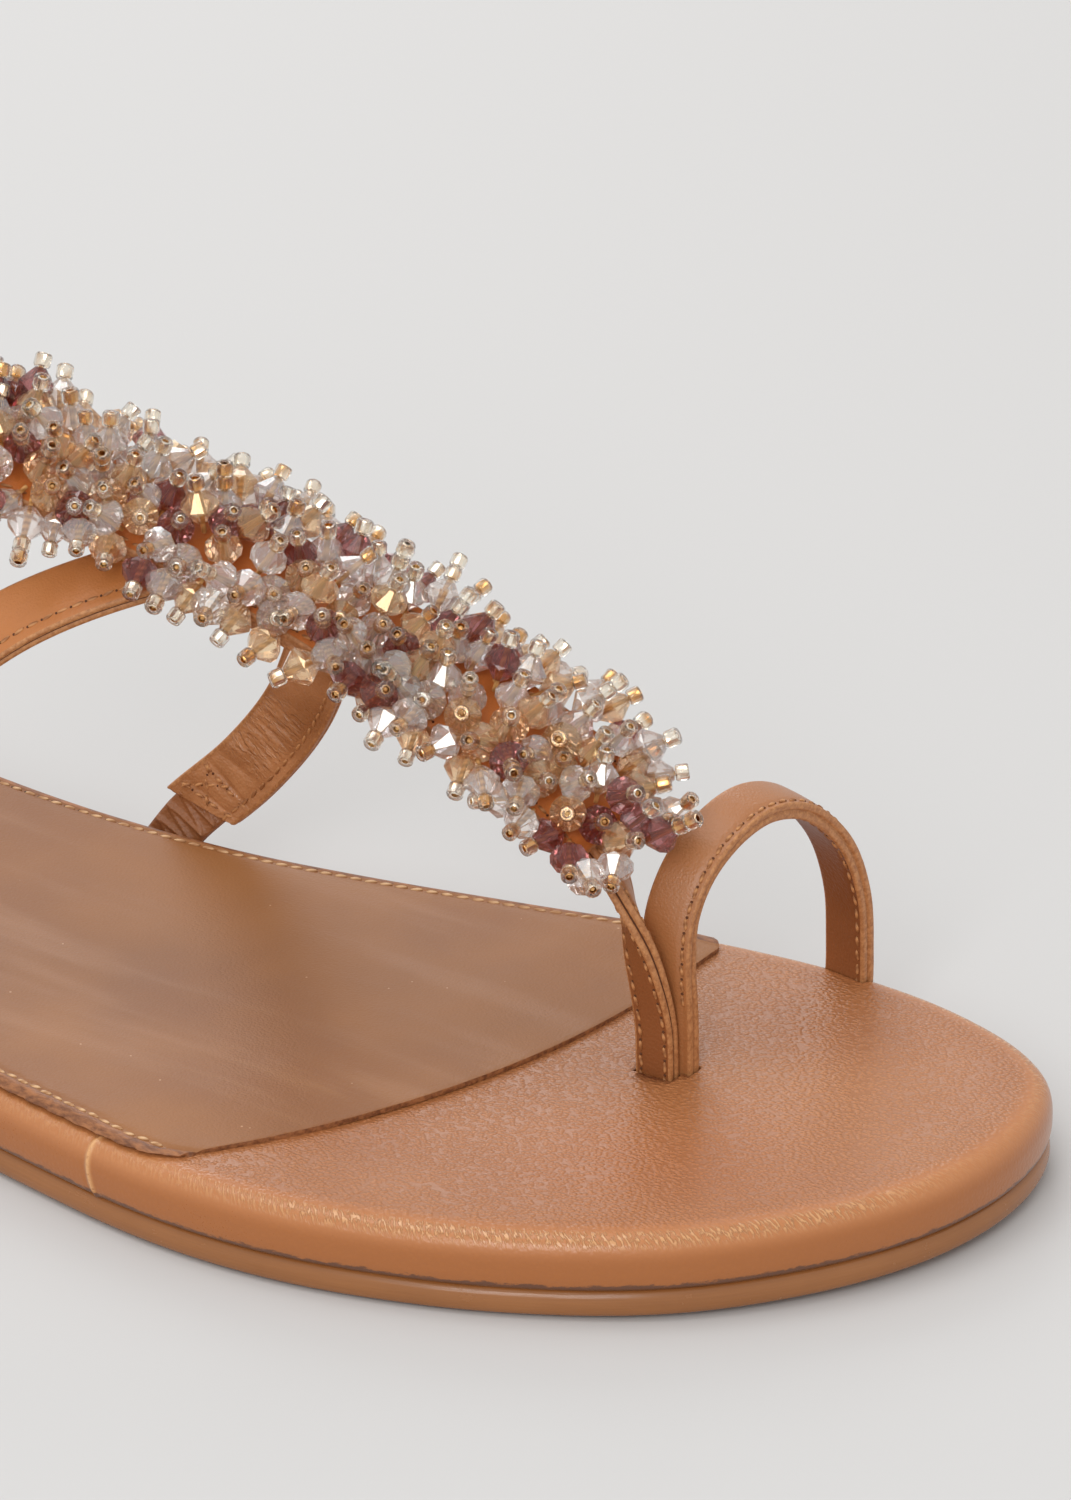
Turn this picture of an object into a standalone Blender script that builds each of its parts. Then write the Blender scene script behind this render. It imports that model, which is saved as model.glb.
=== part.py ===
"""Flat leather sandal for the right foot, with a toe ring and a beaded instep bar.

The tables are in millimetres on the last: station runs from the heel tip to the toe tip,
across runs from the centre line to the big-toe (medial) side, and height from the floor.
The scene is in metres: the toe points to -Y, the medial side to +X, and the sole stands on z = 0.
"""
import math
import random
from collections import namedtuple

import bmesh
import bpy
from mathutils import Vector

MM = 0.001

# Driving dimensions, mm
SOLE_LENGTH = 245.0
HEEL_TIP_ACROSS = -2.0
TOE_TIP_ACROSS = 13.5
OUTSOLE_THICKNESS = 3.2
FOOTBED_THICKNESS = 6.0
SOCK_THICKNESS = 1.2
GAP = 0.3
HEEL_BREAST_STATION = 58.0
HEEL_BREAST_RAKE = 1.5
SLOT_STATION = 206.0
SLOT_TOP = OUTSOLE_THICKNESS + GAP + FOOTBED_THICKNESS
THONG_WIDTH = 4.5
THONG_THICKNESS = 1.8
RING_WIDTH = 5.6
RING_THICKNESS = 2.0
LATERAL_STRAP_WIDTH = 7.5
MEDIAL_STRAP_WIDTH = 8.2
SIDE_STRAP_THICKNESS = 1.8
ELASTIC_WIDTH = 6.0
ELASTIC_THICKNESS = 1.6
BAR_WIDTH = 13.0
BAR_THICKNESS = 2.2
STRAP_EDGE_CHAMFER = 0.35
BLUNT_TAIL = 0.125
BEAD_PITCH = 4.0
BEAD_TAIL = 8.0
BEAD_COLUMNS = 7
BEAD_FAN = math.radians(168)
BEAD_SWAY = 0.15
BEAD_FRONT_TILT = 0.45
BEAD_BED_INSET = 0.4
BEAD_BED_LIP = 0.3
BEAD_BED_CROWN = 1.2
BEAD_SEED = 5

# Facets: steps along each side of the sole and across it, along each strap and its seat, and small nudges
SIDE_STEPS = 40
TOP_COLUMNS = 4
SOCK_FRONT_COLUMNS = 16
BAR_STEPS = 40
RING_STEPS = 36
THONG_STEPS = 22
MEDIAL_STEPS = 18
LATERAL_STEPS = 22
ELASTIC_STEPS = 5
SEAT_STEPS = 8
PATH_STEPS_PER_BEND = 24
OUTLINE_NUDGE = 0.002
PATH_NUDGE = 0.02
LENGTH_SLACK = 1e-9
SHARP_ANGLE = math.radians(35)

PlanRow = namedtuple("PlanRow", "station lateral medial")
PLAN = (
    PlanRow(6, -17.6, 13.6),
    PlanRow(24, -26.8, 22.6),
    PlanRow(55, -28.6, 24.8),
    PlanRow(85, -29.0, 22.8),
    PlanRow(108, -30.2, 22.2),
    PlanRow(130, -32.4, 23.6),
    PlanRow(152, -36.8, 27.4),
    PlanRow(172, -39.6, 32.2),
    PlanRow(188, -38.8, 36.4),
    PlanRow(204, -34.4, 38.9),
    PlanRow(217, -28.3, 38.9),
    PlanRow(227, -21.4, 36.9),
    PlanRow(236, -11.4, 32.9),
    PlanRow(242, -1.0, 26.8),
)

HeightRow = namedtuple("HeightRow", "station height")
GROUND_LINE = (
    HeightRow(0, 0.0),
    HeightRow(HEEL_BREAST_STATION, 0.0),
    HeightRow(HEEL_BREAST_STATION + HEEL_BREAST_RAKE, 4.8),
    HeightRow(75, 4.3),
    HeightRow(98, 2.6),
    HeightRow(124, 0.8),
    HeightRow(148, 0.0),
    HeightRow(198, 0.0),
    HeightRow(216, 0.1),
    HeightRow(230, 0.4),
    HeightRow(SOLE_LENGTH, 1.0),
)
SEAT_LINE = (
    HeightRow(0, 8.2),
    HeightRow(HEEL_BREAST_STATION, 8.0),
) + tuple(HeightRow(row.station, row.height + OUTSOLE_THICKNESS) for row in GROUND_LINE[3:])
CUP_DEPTH = (
    HeightRow(0, 0.0),
    HeightRow(8, 0.1),
    HeightRow(40, 1.4),
    HeightRow(100, 0.7),
    HeightRow(165, 0.9),
    HeightRow(215, 0.3),
    HeightRow(SOLE_LENGTH, 0.0),
)

# Edge profiles from the underside to the top: inset from the plan, share of the thickness, drop
EdgeRow = namedtuple("EdgeRow", "inset share drop")
OUTSOLE_EDGE = (
    EdgeRow(1.0, 0.0, 0.0),
    EdgeRow(0.4, 0.18, 0.0),
    EdgeRow(0.3, 0.6, 0.0),
    EdgeRow(0.8, 1.0, 0.0),
)
FOOTBED_EDGE = (
    EdgeRow(1.4, 0.0, 0.0),
    EdgeRow(0.35, 0.15, 0.0),
    EdgeRow(0.0, 0.42, 0.0),
    EdgeRow(0.35, 0.7, 0.0),
    EdgeRow(1.0, 0.88, 0.0),
    EdgeRow(1.8, 0.96, 0.0),
    EdgeRow(4.0, 1.0, 0.0),
)
SHOULDER_DROP = FOOTBED_THICKNESS * (1.0 - FOOTBED_EDGE[5].share)
SOCK_EDGE = (
    EdgeRow(4.0, 0.0, 0.0),
    EdgeRow(1.8, 0.0, SHOULDER_DROP),
    EdgeRow(1.8, 1.0, SHOULDER_DROP),
    EdgeRow(4.0, 1.0, 0.0),
)

# Front edge of the sock: its station at the medial edge, and how far it sweeps back to the lateral edge
SOCK_FRONT_STATION = 196.0
SOCK_FRONT_SWEEP = 24.0
SOCK_FRONT_POWER = 2.4
SOCK_FRONT_MEDIAL = 38.0
SOCK_FRONT_LATERAL = -40.0
SOCK_CUTTER_MARGIN = 6.0
SOCK_CUTTER_HEIGHT = 30.0

# Strap paths from the slot: ahead of it, across the last, above its top, and the way the outer face looks
Bend = namedtuple("Bend", "ahead across above face_ahead face_across face_above")
BAR_PATH = (
    Bend(-7.0, 8.0, 26.2, 0.0, -0.26, 0.97),
    Bend(-14.5, 7.6, 31.7, 0.0, -0.26, 0.97),
    Bend(-23.0, 6.7, 36.0, 0.0, -0.26, 0.97),
    Bend(-33.0, 5.3, 40.8, 0.0, -0.26, 0.97),
    Bend(-43.0, 3.5, 45.2, 0.0, -0.26, 0.97),
    Bend(-54.0, 1.2, 49.4, 0.0, -0.26, 0.97),
    Bend(-65.0, -1.6, 53.2, 0.0, -0.26, 0.97),
    Bend(-76.0, -4.8, 56.7, 0.0, -0.26, 0.97),
    Bend(-92.0, -9.8, 61.0, 0.0, -0.26, 0.97),
)
THONG_PATH = (
    Bend(-1.0, 7.5, -5.8, 0.0, 1.0, 0.0),
    Bend(-1.0, 7.5, 0.0, 0.0, 1.0, 0.0),
    Bend(-1.2, 7.3, 6.0, 0.02, 1.0, 0.0),
    Bend(-2.1, 6.5, 12.5, 0.25, 0.95, 0.15),
    Bend(-3.9, 6.2, 18.5, 0.55, 0.55, 0.5),
    Bend(-7.8, 6.8, 24.2, 0.6, 0.15, 0.8),
    Bend(-14.5, 7.4, 29.4, 0.55, -0.22, 0.8),
    Bend(-20.0, 6.8, 32.8, 0.5, -0.26, 0.85),
)
MEDIAL_PATH = (
    Bend(-42.5, 1.5, 43.3, 0.3, -0.26, 0.95),
    Bend(-44.0, 8.5, 45.0, 0.3, 0.1, 0.95),
    Bend(-48.0, 15.5, 39.4, 0.2, 0.75, 0.6),
    Bend(-54.5, 20.8, 26.8, 0.1, 0.95, 0.3),
    Bend(-60.0, 23.9, 18.4, 0.0, 1.0, 0.1),
    Bend(-66.5, 25.0, 10.4, 0.0, 1.0, 0.0),
    Bend(-71.4, 24.6, 5.4, 0.0, 1.0, -0.05),
)
ELASTIC_PATH = (
    Bend(-71.65, 24.57, 5.15, 0.0, 1.0, -0.05),
    Bend(-74.5, 24.1, 2.0, 0.0, 1.0, -0.1),
    Bend(-77.0, 23.5, -1.6, 0.0, 1.0, -0.1),
    Bend(-78.2, 23.1, -3.5, 0.0, 1.0, -0.1),
)
LATERAL_PATH = (
    Bend(-52.0, 3.0, 47.5, 0.3, -0.26, 0.9),
    Bend(-58.5, -6.0, 47.7, 0.2, -0.36, 0.9),
    Bend(-69.5, -14.8, 42.0, 0.1, -0.62, 0.8),
    Bend(-79.5, -23.3, 31.5, 0.1, -0.85, 0.5),
    Bend(-87.0, -29.0, 18.5, 0.0, -0.97, 0.2),
    Bend(-91.5, -31.0, 7.0, 0.0, -1.0, 0.05),
    Bend(-93.0, -30.7, 0.5, 0.0, -1.0, -0.05),
    Bend(-93.6, -30.3, -4.25, 0.0, -1.0, -0.1),
)
RING_PATH = (
    Bend(-0.5, 9.7, -5.8, 0.0, -1.0, 0.0),
    Bend(-0.5, 9.7, 0.0, 0.0, -1.0, 0.0),
    Bend(-0.6, 9.65, 6.0, 0.02, -1.0, 0.0),
    Bend(-0.9, 9.5, 12.0, 0.08, -1.0, 0.05),
    Bend(-1.1, 10.4, 17.2, 0.16, -0.93, 0.36),
    Bend(-0.6, 13.2, 21.8, 0.2, -0.65, 0.76),
    Bend(0.4, 17.8, 24.9, 0.2, -0.25, 0.97),
    Bend(1.3, 23.3, 25.5, 0.2, 0.2, 0.98),
    Bend(2.2, 29.3, 23.0, 0.2, 0.55, 0.84),
    Bend(3.2, 34.6, 17.2, 0.2, 0.82, 0.57),
    Bend(3.8, 37.3, 10.0, 0.2, 0.97, 0.22),
    Bend(3.9, 37.9, 2.5, 0.2, 1.0, 0.0),
    Bend(3.9, 37.8, -2.0, 0.2, 1.0, -0.03),
    Bend(3.9, 37.5, -5.6, 0.2, 1.0, -0.08),
)

# Rings of one bead along its stalk: girdle and neck of the cut bead, then the top of the seed bead on it
BeadRing = namedtuple("BeadRing", "reach spread")
BEAD_RINGS = (
    BeadRing(2.2, 0.8),
    BeadRing(4.4, 0.26),
    BeadRing(6.4, 0.36),
)

MaterialRow = namedtuple("MaterialRow", "red green blue roughness")
TAN_LEATHER = MaterialRow(0.44, 0.22, 0.11, 0.45)
BROWN_LEATHER = MaterialRow(0.31, 0.13, 0.06, 0.55)
SOLE_LEATHER = MaterialRow(0.22, 0.11, 0.055, 0.4)
ELASTIC_CLOTH = MaterialRow(0.24, 0.11, 0.05, 0.75)
CUT_GLASS = MaterialRow(0.55, 0.36, 0.29, 0.12)


def smooth(knots, x, limited):
    """Cubic through (x, y) knots; limited keeps flat stretches flat and adds no overshoot."""
    last = len(knots) - 2
    i = 0
    while i < last and x > knots[i + 1][0]:
        i += 1

    def secant(j):
        return (knots[j + 1][1] - knots[j][1]) / (knots[j + 1][0] - knots[j][0])

    def slope(j):
        if j == 0:
            return secant(0)
        if j == len(knots) - 1:
            return secant(last)
        before, after = secant(j - 1), secant(j)
        if not limited:
            return (knots[j + 1][1] - knots[j - 1][1]) / (knots[j + 1][0] - knots[j - 1][0])
        return 2 * before * after / (before + after) if before * after > 0 else 0.0

    span = knots[i + 1][0] - knots[i][0]
    u = (x - knots[i][0]) / span
    start = knots[i][1] * (1 + 2 * u) * (1 - u) ** 2 + knots[i + 1][1] * u * u * (3 - 2 * u)
    return start + span * (slope(i) * u * (1 - u) ** 2 - slope(i + 1) * u * u * (1 - u))


def turn_angle(station):
    """Angle round the sole, from 0 at the heel tip to pi at the toe tip."""
    return math.acos(1 - 2 * station / SOLE_LENGTH)


def outline_knots():
    """Offset of the plan's edge by angle round the sole, with a lap over at both ends."""
    turn = 2 * math.pi
    lateral = [(turn_angle(row.station), row.lateral) for row in PLAN]
    medial = [(turn - turn_angle(row.station), row.medial) for row in reversed(PLAN)]
    loop = [(0.0, HEEL_TIP_ACROSS)] + lateral + [(math.pi, TOE_TIP_ACROSS)] + medial
    before = [(angle - turn, across) for angle, across in loop[-2:]]
    after = [(angle + turn, across) for angle, across in loop[:3]]
    return before + loop + after


OUTLINE = outline_knots()


def plan_point(angle):
    """Station and offset of the plan's edge at an angle round the sole."""
    return SOLE_LENGTH / 2 * (1 - math.cos(angle)), smooth(OUTLINE, angle, limited=False)


def inset_point(angle, inset):
    """A point inside the plan's edge, square to it."""
    ahead, behind = plan_point(angle + OUTLINE_NUDGE), plan_point(angle - OUTLINE_NUDGE)
    along = Vector((ahead[0] - behind[0], ahead[1] - behind[1])).normalized()
    station, across = plan_point(angle)
    return station - along.y * inset, across + along.x * inset


def place(station, across, height):
    """A point of the last in the scene's metres, with the heel tip at the origin."""
    return Vector((across, -station, height)) * MM


def seat_height(station):
    """Top of the outsole."""
    return smooth(SEAT_LINE, station, limited=True)


def ground_height(station):
    """Underside of the outsole."""
    return smooth(GROUND_LINE, station, limited=True)


def footbed_floor(station):
    """Underside of the footbed."""
    return seat_height(station) + GAP


def footbed_roof(station):
    """Top of the footbed along its rim."""
    return footbed_floor(station) + FOOTBED_THICKNESS


def sock_floor(station):
    """Underside of the sock along its rim."""
    return footbed_roof(station) + GAP


def sock_roof(station):
    """Top of the sock along its rim."""
    return sock_floor(station) + SOCK_THICKNESS


def cup(station, share):
    """How far the cupped surface lies below its rim, at a share of the way across."""
    depth = smooth(CUP_DEPTH, station, limited=True)
    return depth * (1 - (2 * share - 1) ** 2)


def level(station, share):
    """No cup at all, for a flat underside."""
    return 0.0


def side_angles():
    """Angles of the facets' corners from heel tip to toe tip, with the heel's breast among them."""
    breast = [HEEL_BREAST_STATION, HEEL_BREAST_STATION + HEEL_BREAST_RAKE]
    angles = [math.pi * k / SIDE_STEPS for k in range(SIDE_STEPS + 1)]
    spacing = math.pi / SIDE_STEPS / 3
    fixed = [turn_angle(station) for station in breast]
    kept = [a for a in angles if all(abs(a - f) > spacing for f in fixed)]
    return sorted(kept + fixed)


def new_object(name, mesh_builder, collection, material=None):
    """An object whose mesh the builder fills, with its faces turned outwards."""
    shape = bmesh.new()
    mesh_builder(shape)
    bmesh.ops.recalc_face_normals(shape, faces=shape.faces)
    mesh = bpy.data.meshes.new(name)
    shape.to_mesh(mesh)
    shape.free()
    if material:
        mesh.materials.append(material)
    thing = bpy.data.objects.new(name, mesh)
    collection.objects.link(thing)
    return thing


def sheet(shape, rows):
    """Faces over rows of corners from side to side; the first and last row are a single tip."""
    for near, far in zip(rows, rows[1:]):
        if len(near) == 1 or len(far) == 1:
            tip, wide = (near[0], far) if len(near) == 1 else (far[0], near)
            for left, right in zip(wide, wide[1:]):
                shape.faces.new((tip, left, right))
            continue
        for j in range(len(near) - 1):
            shape.faces.new((near[j], near[j + 1], far[j + 1], far[j]))


def layer(edge, floor, roof, under_cup, under_columns, top_cup, top_columns):
    """Builder of a sole layer: edge rings round the plan, closed below and above by sheets."""
    angles = side_angles()
    steps = len(angles) - 1
    loop = angles + [2 * math.pi - angle for angle in reversed(angles[1:-1])]

    def build(shape):
        rings = []
        for row in edge:
            ring = []
            for angle in loop:
                station, across = inset_point(angle, row.inset)
                height = floor(station) + row.share * (roof(station) - floor(station)) - row.drop
                ring.append(shape.verts.new(place(station, across, height)))
            rings.append(ring)
        for low, high in zip(rings, rings[1:]):
            for k in range(len(loop)):
                n = (k + 1) % len(loop)
                shape.faces.new((low[k], low[n], high[n], high[k]))

        def rows_inside(ring, surface, dip, columns):
            rows = [[ring[0]]]
            for k in range(1, steps):
                lateral, medial = ring[k], ring[-k]
                row = [lateral]
                for column in range(1, columns):
                    share = column / columns
                    corner = lateral.co.lerp(medial.co, share)
                    station = -corner.y / MM
                    corner.z = (surface(station) - dip(station, share)) * MM
                    row.append(shape.verts.new(corner))
                rows.append(row + [medial])
            return rows + [[ring[steps]]]

        sheet(shape, rows_inside(rings[0], floor, under_cup, under_columns))
        sheet(shape, rows_inside(rings[-1], roof, top_cup, top_columns))

    return build


def sock_front(across):
    """Station of the sock's cut front edge."""
    share = (SOCK_FRONT_MEDIAL - across) / (SOCK_FRONT_MEDIAL - SOCK_FRONT_LATERAL)
    return SOCK_FRONT_STATION - SOCK_FRONT_SWEEP * max(share, 0.0) ** SOCK_FRONT_POWER


def front_cutter(shape):
    """Builder of the block that takes the toe end off the sock."""
    low = SOCK_FRONT_LATERAL - SOCK_CUTTER_MARGIN
    high = SOCK_FRONT_MEDIAL + SOCK_CUTTER_MARGIN
    end = SOLE_LENGTH + SOCK_CUTTER_MARGIN
    line = [low + (high - low) * k / SOCK_FRONT_COLUMNS for k in range(SOCK_FRONT_COLUMNS + 1)]
    corners = [place(sock_front(across), across, 0.0) for across in line]
    corners += [place(end, high, 0.0), place(end, low, 0.0)]
    face = shape.faces.new([shape.verts.new(corner) for corner in corners])
    top = bmesh.ops.extrude_face_region(shape, geom=[face])["geom"]
    lifted = [item for item in top if isinstance(item, bmesh.types.BMVert)]
    bmesh.ops.translate(shape, verts=lifted, vec=(0, 0, SOCK_CUTTER_HEIGHT * MM))


Frame = namedtuple("Frame", "centre along face side")


def strap_frames(path, steps):
    """Centre, direction, outer face and edge direction at even lengths along a strap's path."""
    fine = PATH_STEPS_PER_BEND * (len(path) - 1)
    knots = [[(i, row[column]) for i, row in enumerate(path)] for column in range(len(Bend._fields))]
    places, looks = knots[:3], knots[3:]

    def at(u, columns):
        return Vector([smooth(column, u, limited=False) for column in columns])

    marks = [k * (len(path) - 1) / fine for k in range(fine + 1)]
    points = [at(u, places) for u in marks]
    lengths = [0.0]
    for a, b in zip(points, points[1:]):
        lengths.append(lengths[-1] + (b - a).length)
    frames = []
    for k in range(steps + 1):
        goal = lengths[-1] * k / steps
        i = max(j for j in range(fine) if lengths[j] <= goal + LENGTH_SLACK)
        share = (goal - lengths[i]) / (lengths[i + 1] - lengths[i])
        u = marks[i] + share * (marks[i + 1] - marks[i])
        ahead, across, above = at(u, places)
        after, before = min(u + PATH_NUDGE, marks[-1]), max(u - PATH_NUDGE, 0.0)
        along = on_last(at(after, places) - at(before, places)).normalized()
        face = on_last(at(u, looks))
        face = (face - along * face.dot(along)).normalized()
        centre = place(SLOT_STATION + ahead, across, SLOT_TOP + above)
        frames.append(Frame(centre, along, face, along.cross(face)))
    return frames


def on_last(direction):
    """A direction given as ahead, across and above, in the scene's axes."""
    return Vector((direction[1], -direction[0], direction[2]))


def path_length(frames):
    """Length of a strap's path in millimetres."""
    return sum((b.centre - a.centre).length for a, b in zip(frames, frames[1:])) / MM


def strap(path, width, thickness, steps, round_tail=False, clearance=0.0):
    """Builder of a flat strap with softened edges, capped at both ends."""
    frames = strap_frames(path, steps)
    length = path_length(frames)

    def half_width(k):
        left = length * (1 - k / steps) / (width / 2)
        if not round_tail or left >= 1:
            return width / 2 + clearance
        return max(width / 2 * math.sqrt(1 - (1 - left) ** 2), width * BLUNT_TAIL)

    def build(shape):
        half = thickness / 2 + clearance
        soft = STRAP_EDGE_CHAMFER
        rings = []
        for k, frame in enumerate(frames):
            wide = half_width(k)
            centre = frame.centre + frame.along * clearance * MM * ((k == steps) - (k == 0))
            section = [(wide, half - soft), (wide - soft, half), (soft - wide, half), (-wide, half - soft)]
            section += [(-w, -h) for w, h in section]
            rings.append([
                shape.verts.new(centre + (frame.side * w + frame.face * h) * MM) for w, h in section
            ])
        for near, far in zip(rings, rings[1:]):
            for j in range(len(near)):
                n = (j + 1) % len(near)
                shape.faces.new((near[j], near[n], far[n], far[j]))
        shape.faces.new(rings[0])
        shape.faces.new(rings[-1])

    return build


def bead_bed(frame, angles):
    """Corners of the bed's cells over one section of the bar, from its lateral to its medial edge."""
    half = BAR_WIDTH / 2 - BEAD_BED_INSET
    base = BAR_THICKNESS / 2 + GAP + BEAD_BED_LIP
    corners = []
    for angle in angles:
        aside = frame.side * half * math.sin(angle)
        above = frame.face * (base + BEAD_BED_CROWN * math.cos(angle))
        corners.append(frame.centre + (aside + above) * MM)
    return corners


def stand_bead(shape, corners, stalk):
    """Raise one cut bead and its seed bead along a stalk from the four corners of its cell."""
    centre = sum((corner.co for corner in corners), Vector()) / len(corners)
    low = corners
    for ring in BEAD_RINGS:
        middle = centre + stalk * ring.reach * MM
        high = [shape.verts.new(middle + (corner.co - centre) * ring.spread) for corner in corners]
        for k in range(len(corners)):
            n = (k + 1) % len(corners)
            shape.faces.new((low[k], low[n], high[n], high[k]))
        low = high
    shape.faces.new(low)


def bead_cluster(shape):
    """Builder of the beads on the bar: a shallow bed with one bead standing in every cell."""
    rows = round((path_length(strap_frames(BAR_PATH, BAR_STEPS)) - BEAD_TAIL) / BEAD_PITCH)
    frames = strap_frames(BAR_PATH, 2 * rows + round(2 * BEAD_TAIL / BEAD_PITCH))[: 2 * rows + 1]
    angles = [BEAD_FAN * (k / BEAD_COLUMNS - 0.5) for k in range(BEAD_COLUMNS + 1)]
    lots = random.Random(BEAD_SEED)
    valley = [[shape.verts.new(corner) for corner in bead_bed(frame, angles)] for frame in frames[::2]]
    rim = []
    for frame in frames[::2]:
        half = BAR_WIDTH / 2 - BEAD_BED_INSET
        sole = frame.centre + frame.face * (BAR_THICKNESS / 2 + GAP) * MM
        rim.append([shape.verts.new(sole + frame.side * half * side * MM) for side in (-1, 1)])
    for i in range(rows):
        shape.faces.new((rim[i][0], rim[i][1], rim[i + 1][1], rim[i + 1][0]))
        shape.faces.new((rim[i][0], valley[i][0], valley[i + 1][0], rim[i + 1][0]))
        shape.faces.new((rim[i][1], valley[i][-1], valley[i + 1][-1], rim[i + 1][1]))
        frame = frames[2 * i + 1]
        for j in range(BEAD_COLUMNS):
            lean = (angles[j] + angles[j + 1]) / 2 + lots.uniform(-BEAD_SWAY, BEAD_SWAY)
            tilt = lots.uniform(-BEAD_SWAY, BEAD_SWAY) - (BEAD_FRONT_TILT if i == 0 else 0.0)
            stalk = frame.side * math.sin(lean) + frame.face * math.cos(lean) + frame.along * tilt
            corners = (valley[i][j], valley[i][j + 1], valley[i + 1][j + 1], valley[i + 1][j])
            stand_bead(shape, corners, stalk.normalized())
    for end in (0, -1):
        shape.faces.new([rim[end][0]] + valley[end] + [rim[end][1]])


def make_material(name, row):
    """A Principled material of one colour."""
    material = bpy.data.materials.new(name)
    material.use_nodes = True
    shader = material.node_tree.nodes["Principled BSDF"]
    shader.inputs["Base Color"].default_value = (row.red, row.green, row.blue, 1.0)
    shader.inputs["Roughness"].default_value = row.roughness
    shader.inputs["Metallic"].default_value = 0.0
    return material


def make_collection(name):
    """A collection under the scene's own."""
    collection = bpy.data.collections.new(name)
    bpy.context.scene.collection.children.link(collection)
    return collection


def boolean(thing, tool, operation):
    """Cut the tool out of a piece, or join it on, and keep the tool as a wire guide."""
    modifier = thing.modifiers.new(tool.name, "BOOLEAN")
    modifier.operation = operation
    modifier.solver = "EXACT"
    modifier.object = tool
    tool.hide_render = True
    tool.display_type = "WIRE"


def clear_scene():
    """Remove whatever the scene holds."""
    for thing in list(bpy.data.objects):
        bpy.data.objects.remove(thing, do_unlink=True)


def main():
    clear_scene()
    parts = make_collection("flat_sandal")
    tools = make_collection("cutters_and_joins")

    tan = make_material("tan_leather", TAN_LEATHER)
    brown = make_material("sock_leather", BROWN_LEATHER)
    sole = make_material("sole_leather", SOLE_LEATHER)
    cloth = make_material("elastic_cloth", ELASTIC_CLOTH)
    glass = make_material("cut_glass", CUT_GLASS)

    outsole = new_object(
        "outsole", layer(OUTSOLE_EDGE, ground_height, seat_height, level, 1, level, 1), parts, sole
    )
    footbed = new_object(
        "footbed", layer(FOOTBED_EDGE, footbed_floor, footbed_roof, level, 1, cup, TOP_COLUMNS), parts, tan
    )
    sock = new_object(
        "sock", layer(SOCK_EDGE, sock_floor, sock_roof, cup, TOP_COLUMNS, cup, TOP_COLUMNS), parts, brown
    )
    boolean(sock, new_object("sock_front_cutter", front_cutter, tools), "DIFFERENCE")

    bar = strap(BAR_PATH, BAR_WIDTH, BAR_THICKNESS, BAR_STEPS, round_tail=True)
    ring = strap(RING_PATH, RING_WIDTH, RING_THICKNESS, RING_STEPS)
    tab = strap(ELASTIC_PATH, ELASTIC_WIDTH, ELASTIC_THICKNESS, ELASTIC_STEPS)
    thong = strap(THONG_PATH, THONG_WIDTH, THONG_THICKNESS, THONG_STEPS)
    medial = strap(MEDIAL_PATH, MEDIAL_STRAP_WIDTH, SIDE_STRAP_THICKNESS, MEDIAL_STEPS)
    lateral = strap(LATERAL_PATH, LATERAL_STRAP_WIDTH, SIDE_STRAP_THICKNESS, LATERAL_STEPS)
    upper = new_object("upper", bar, parts, tan)
    toe_ring = new_object("toe_ring", ring, parts, tan)
    elastic = new_object("elastic_tab", tab, parts, cloth)
    boolean(upper, new_object("thong_strap", thong, tools), "UNION")
    boolean(upper, new_object("medial_strap", medial, tools), "UNION")
    boolean(upper, new_object("lateral_strap", lateral, tools), "UNION")
    cluster = new_object("bead_cluster", bead_cluster, parts, glass)

    seats = (
        ("thong_seat", THONG_PATH[:4], THONG_WIDTH, THONG_THICKNESS),
        ("ring_slot_seat", RING_PATH[:4], RING_WIDTH, RING_THICKNESS),
        ("ring_edge_seat", RING_PATH[-4:], RING_WIDTH, RING_THICKNESS),
        ("elastic_seat", ELASTIC_PATH, ELASTIC_WIDTH, ELASTIC_THICKNESS),
        ("lateral_seat", LATERAL_PATH[-4:], LATERAL_STRAP_WIDTH, SIDE_STRAP_THICKNESS),
    )
    for name, path, width, thickness in seats:
        seat = new_object(name, strap(path, width, thickness, SEAT_STEPS, clearance=GAP), tools)
        boolean(footbed, seat, "DIFFERENCE")

    heel_tip = bpy.data.objects.new("heel_tip", None)
    parts.objects.link(heel_tip)
    edge = [across for _, across in OUTLINE]
    heel_tip.location = (-(max(edge) + min(edge)) / 2 * MM, SOLE_LENGTH / 2 * MM, 0.0)
    for thing in list(parts.objects) + list(tools.objects):
        if thing is not heel_tip:
            thing.parent = heel_tip
    for thing in (upper, toe_ring, elastic, sock, footbed, outsole, cluster):
        thing.data.shade_smooth()
        thing.data.set_sharp_from_angle(angle=SHARP_ANGLE)


main()
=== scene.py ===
"""Looks of a flat leather sandal for the right foot, with a toe ring and a beaded instep bar.

The tables are in millimetres on the last: station runs from the heel tip to the toe tip, across from
the centre line to the big-toe (medial) side, and height from the floor. Meshes are in metres, in the
frame's own axes: the toe points to -Y, the medial side to +X, and the sole stands on z = 0.
"""
from __future__ import annotations

import logging
import math
import random
from dataclasses import dataclass
from enum import Enum
from functools import cached_property
from typing import Any, Callable, NamedTuple, Sequence

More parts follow.
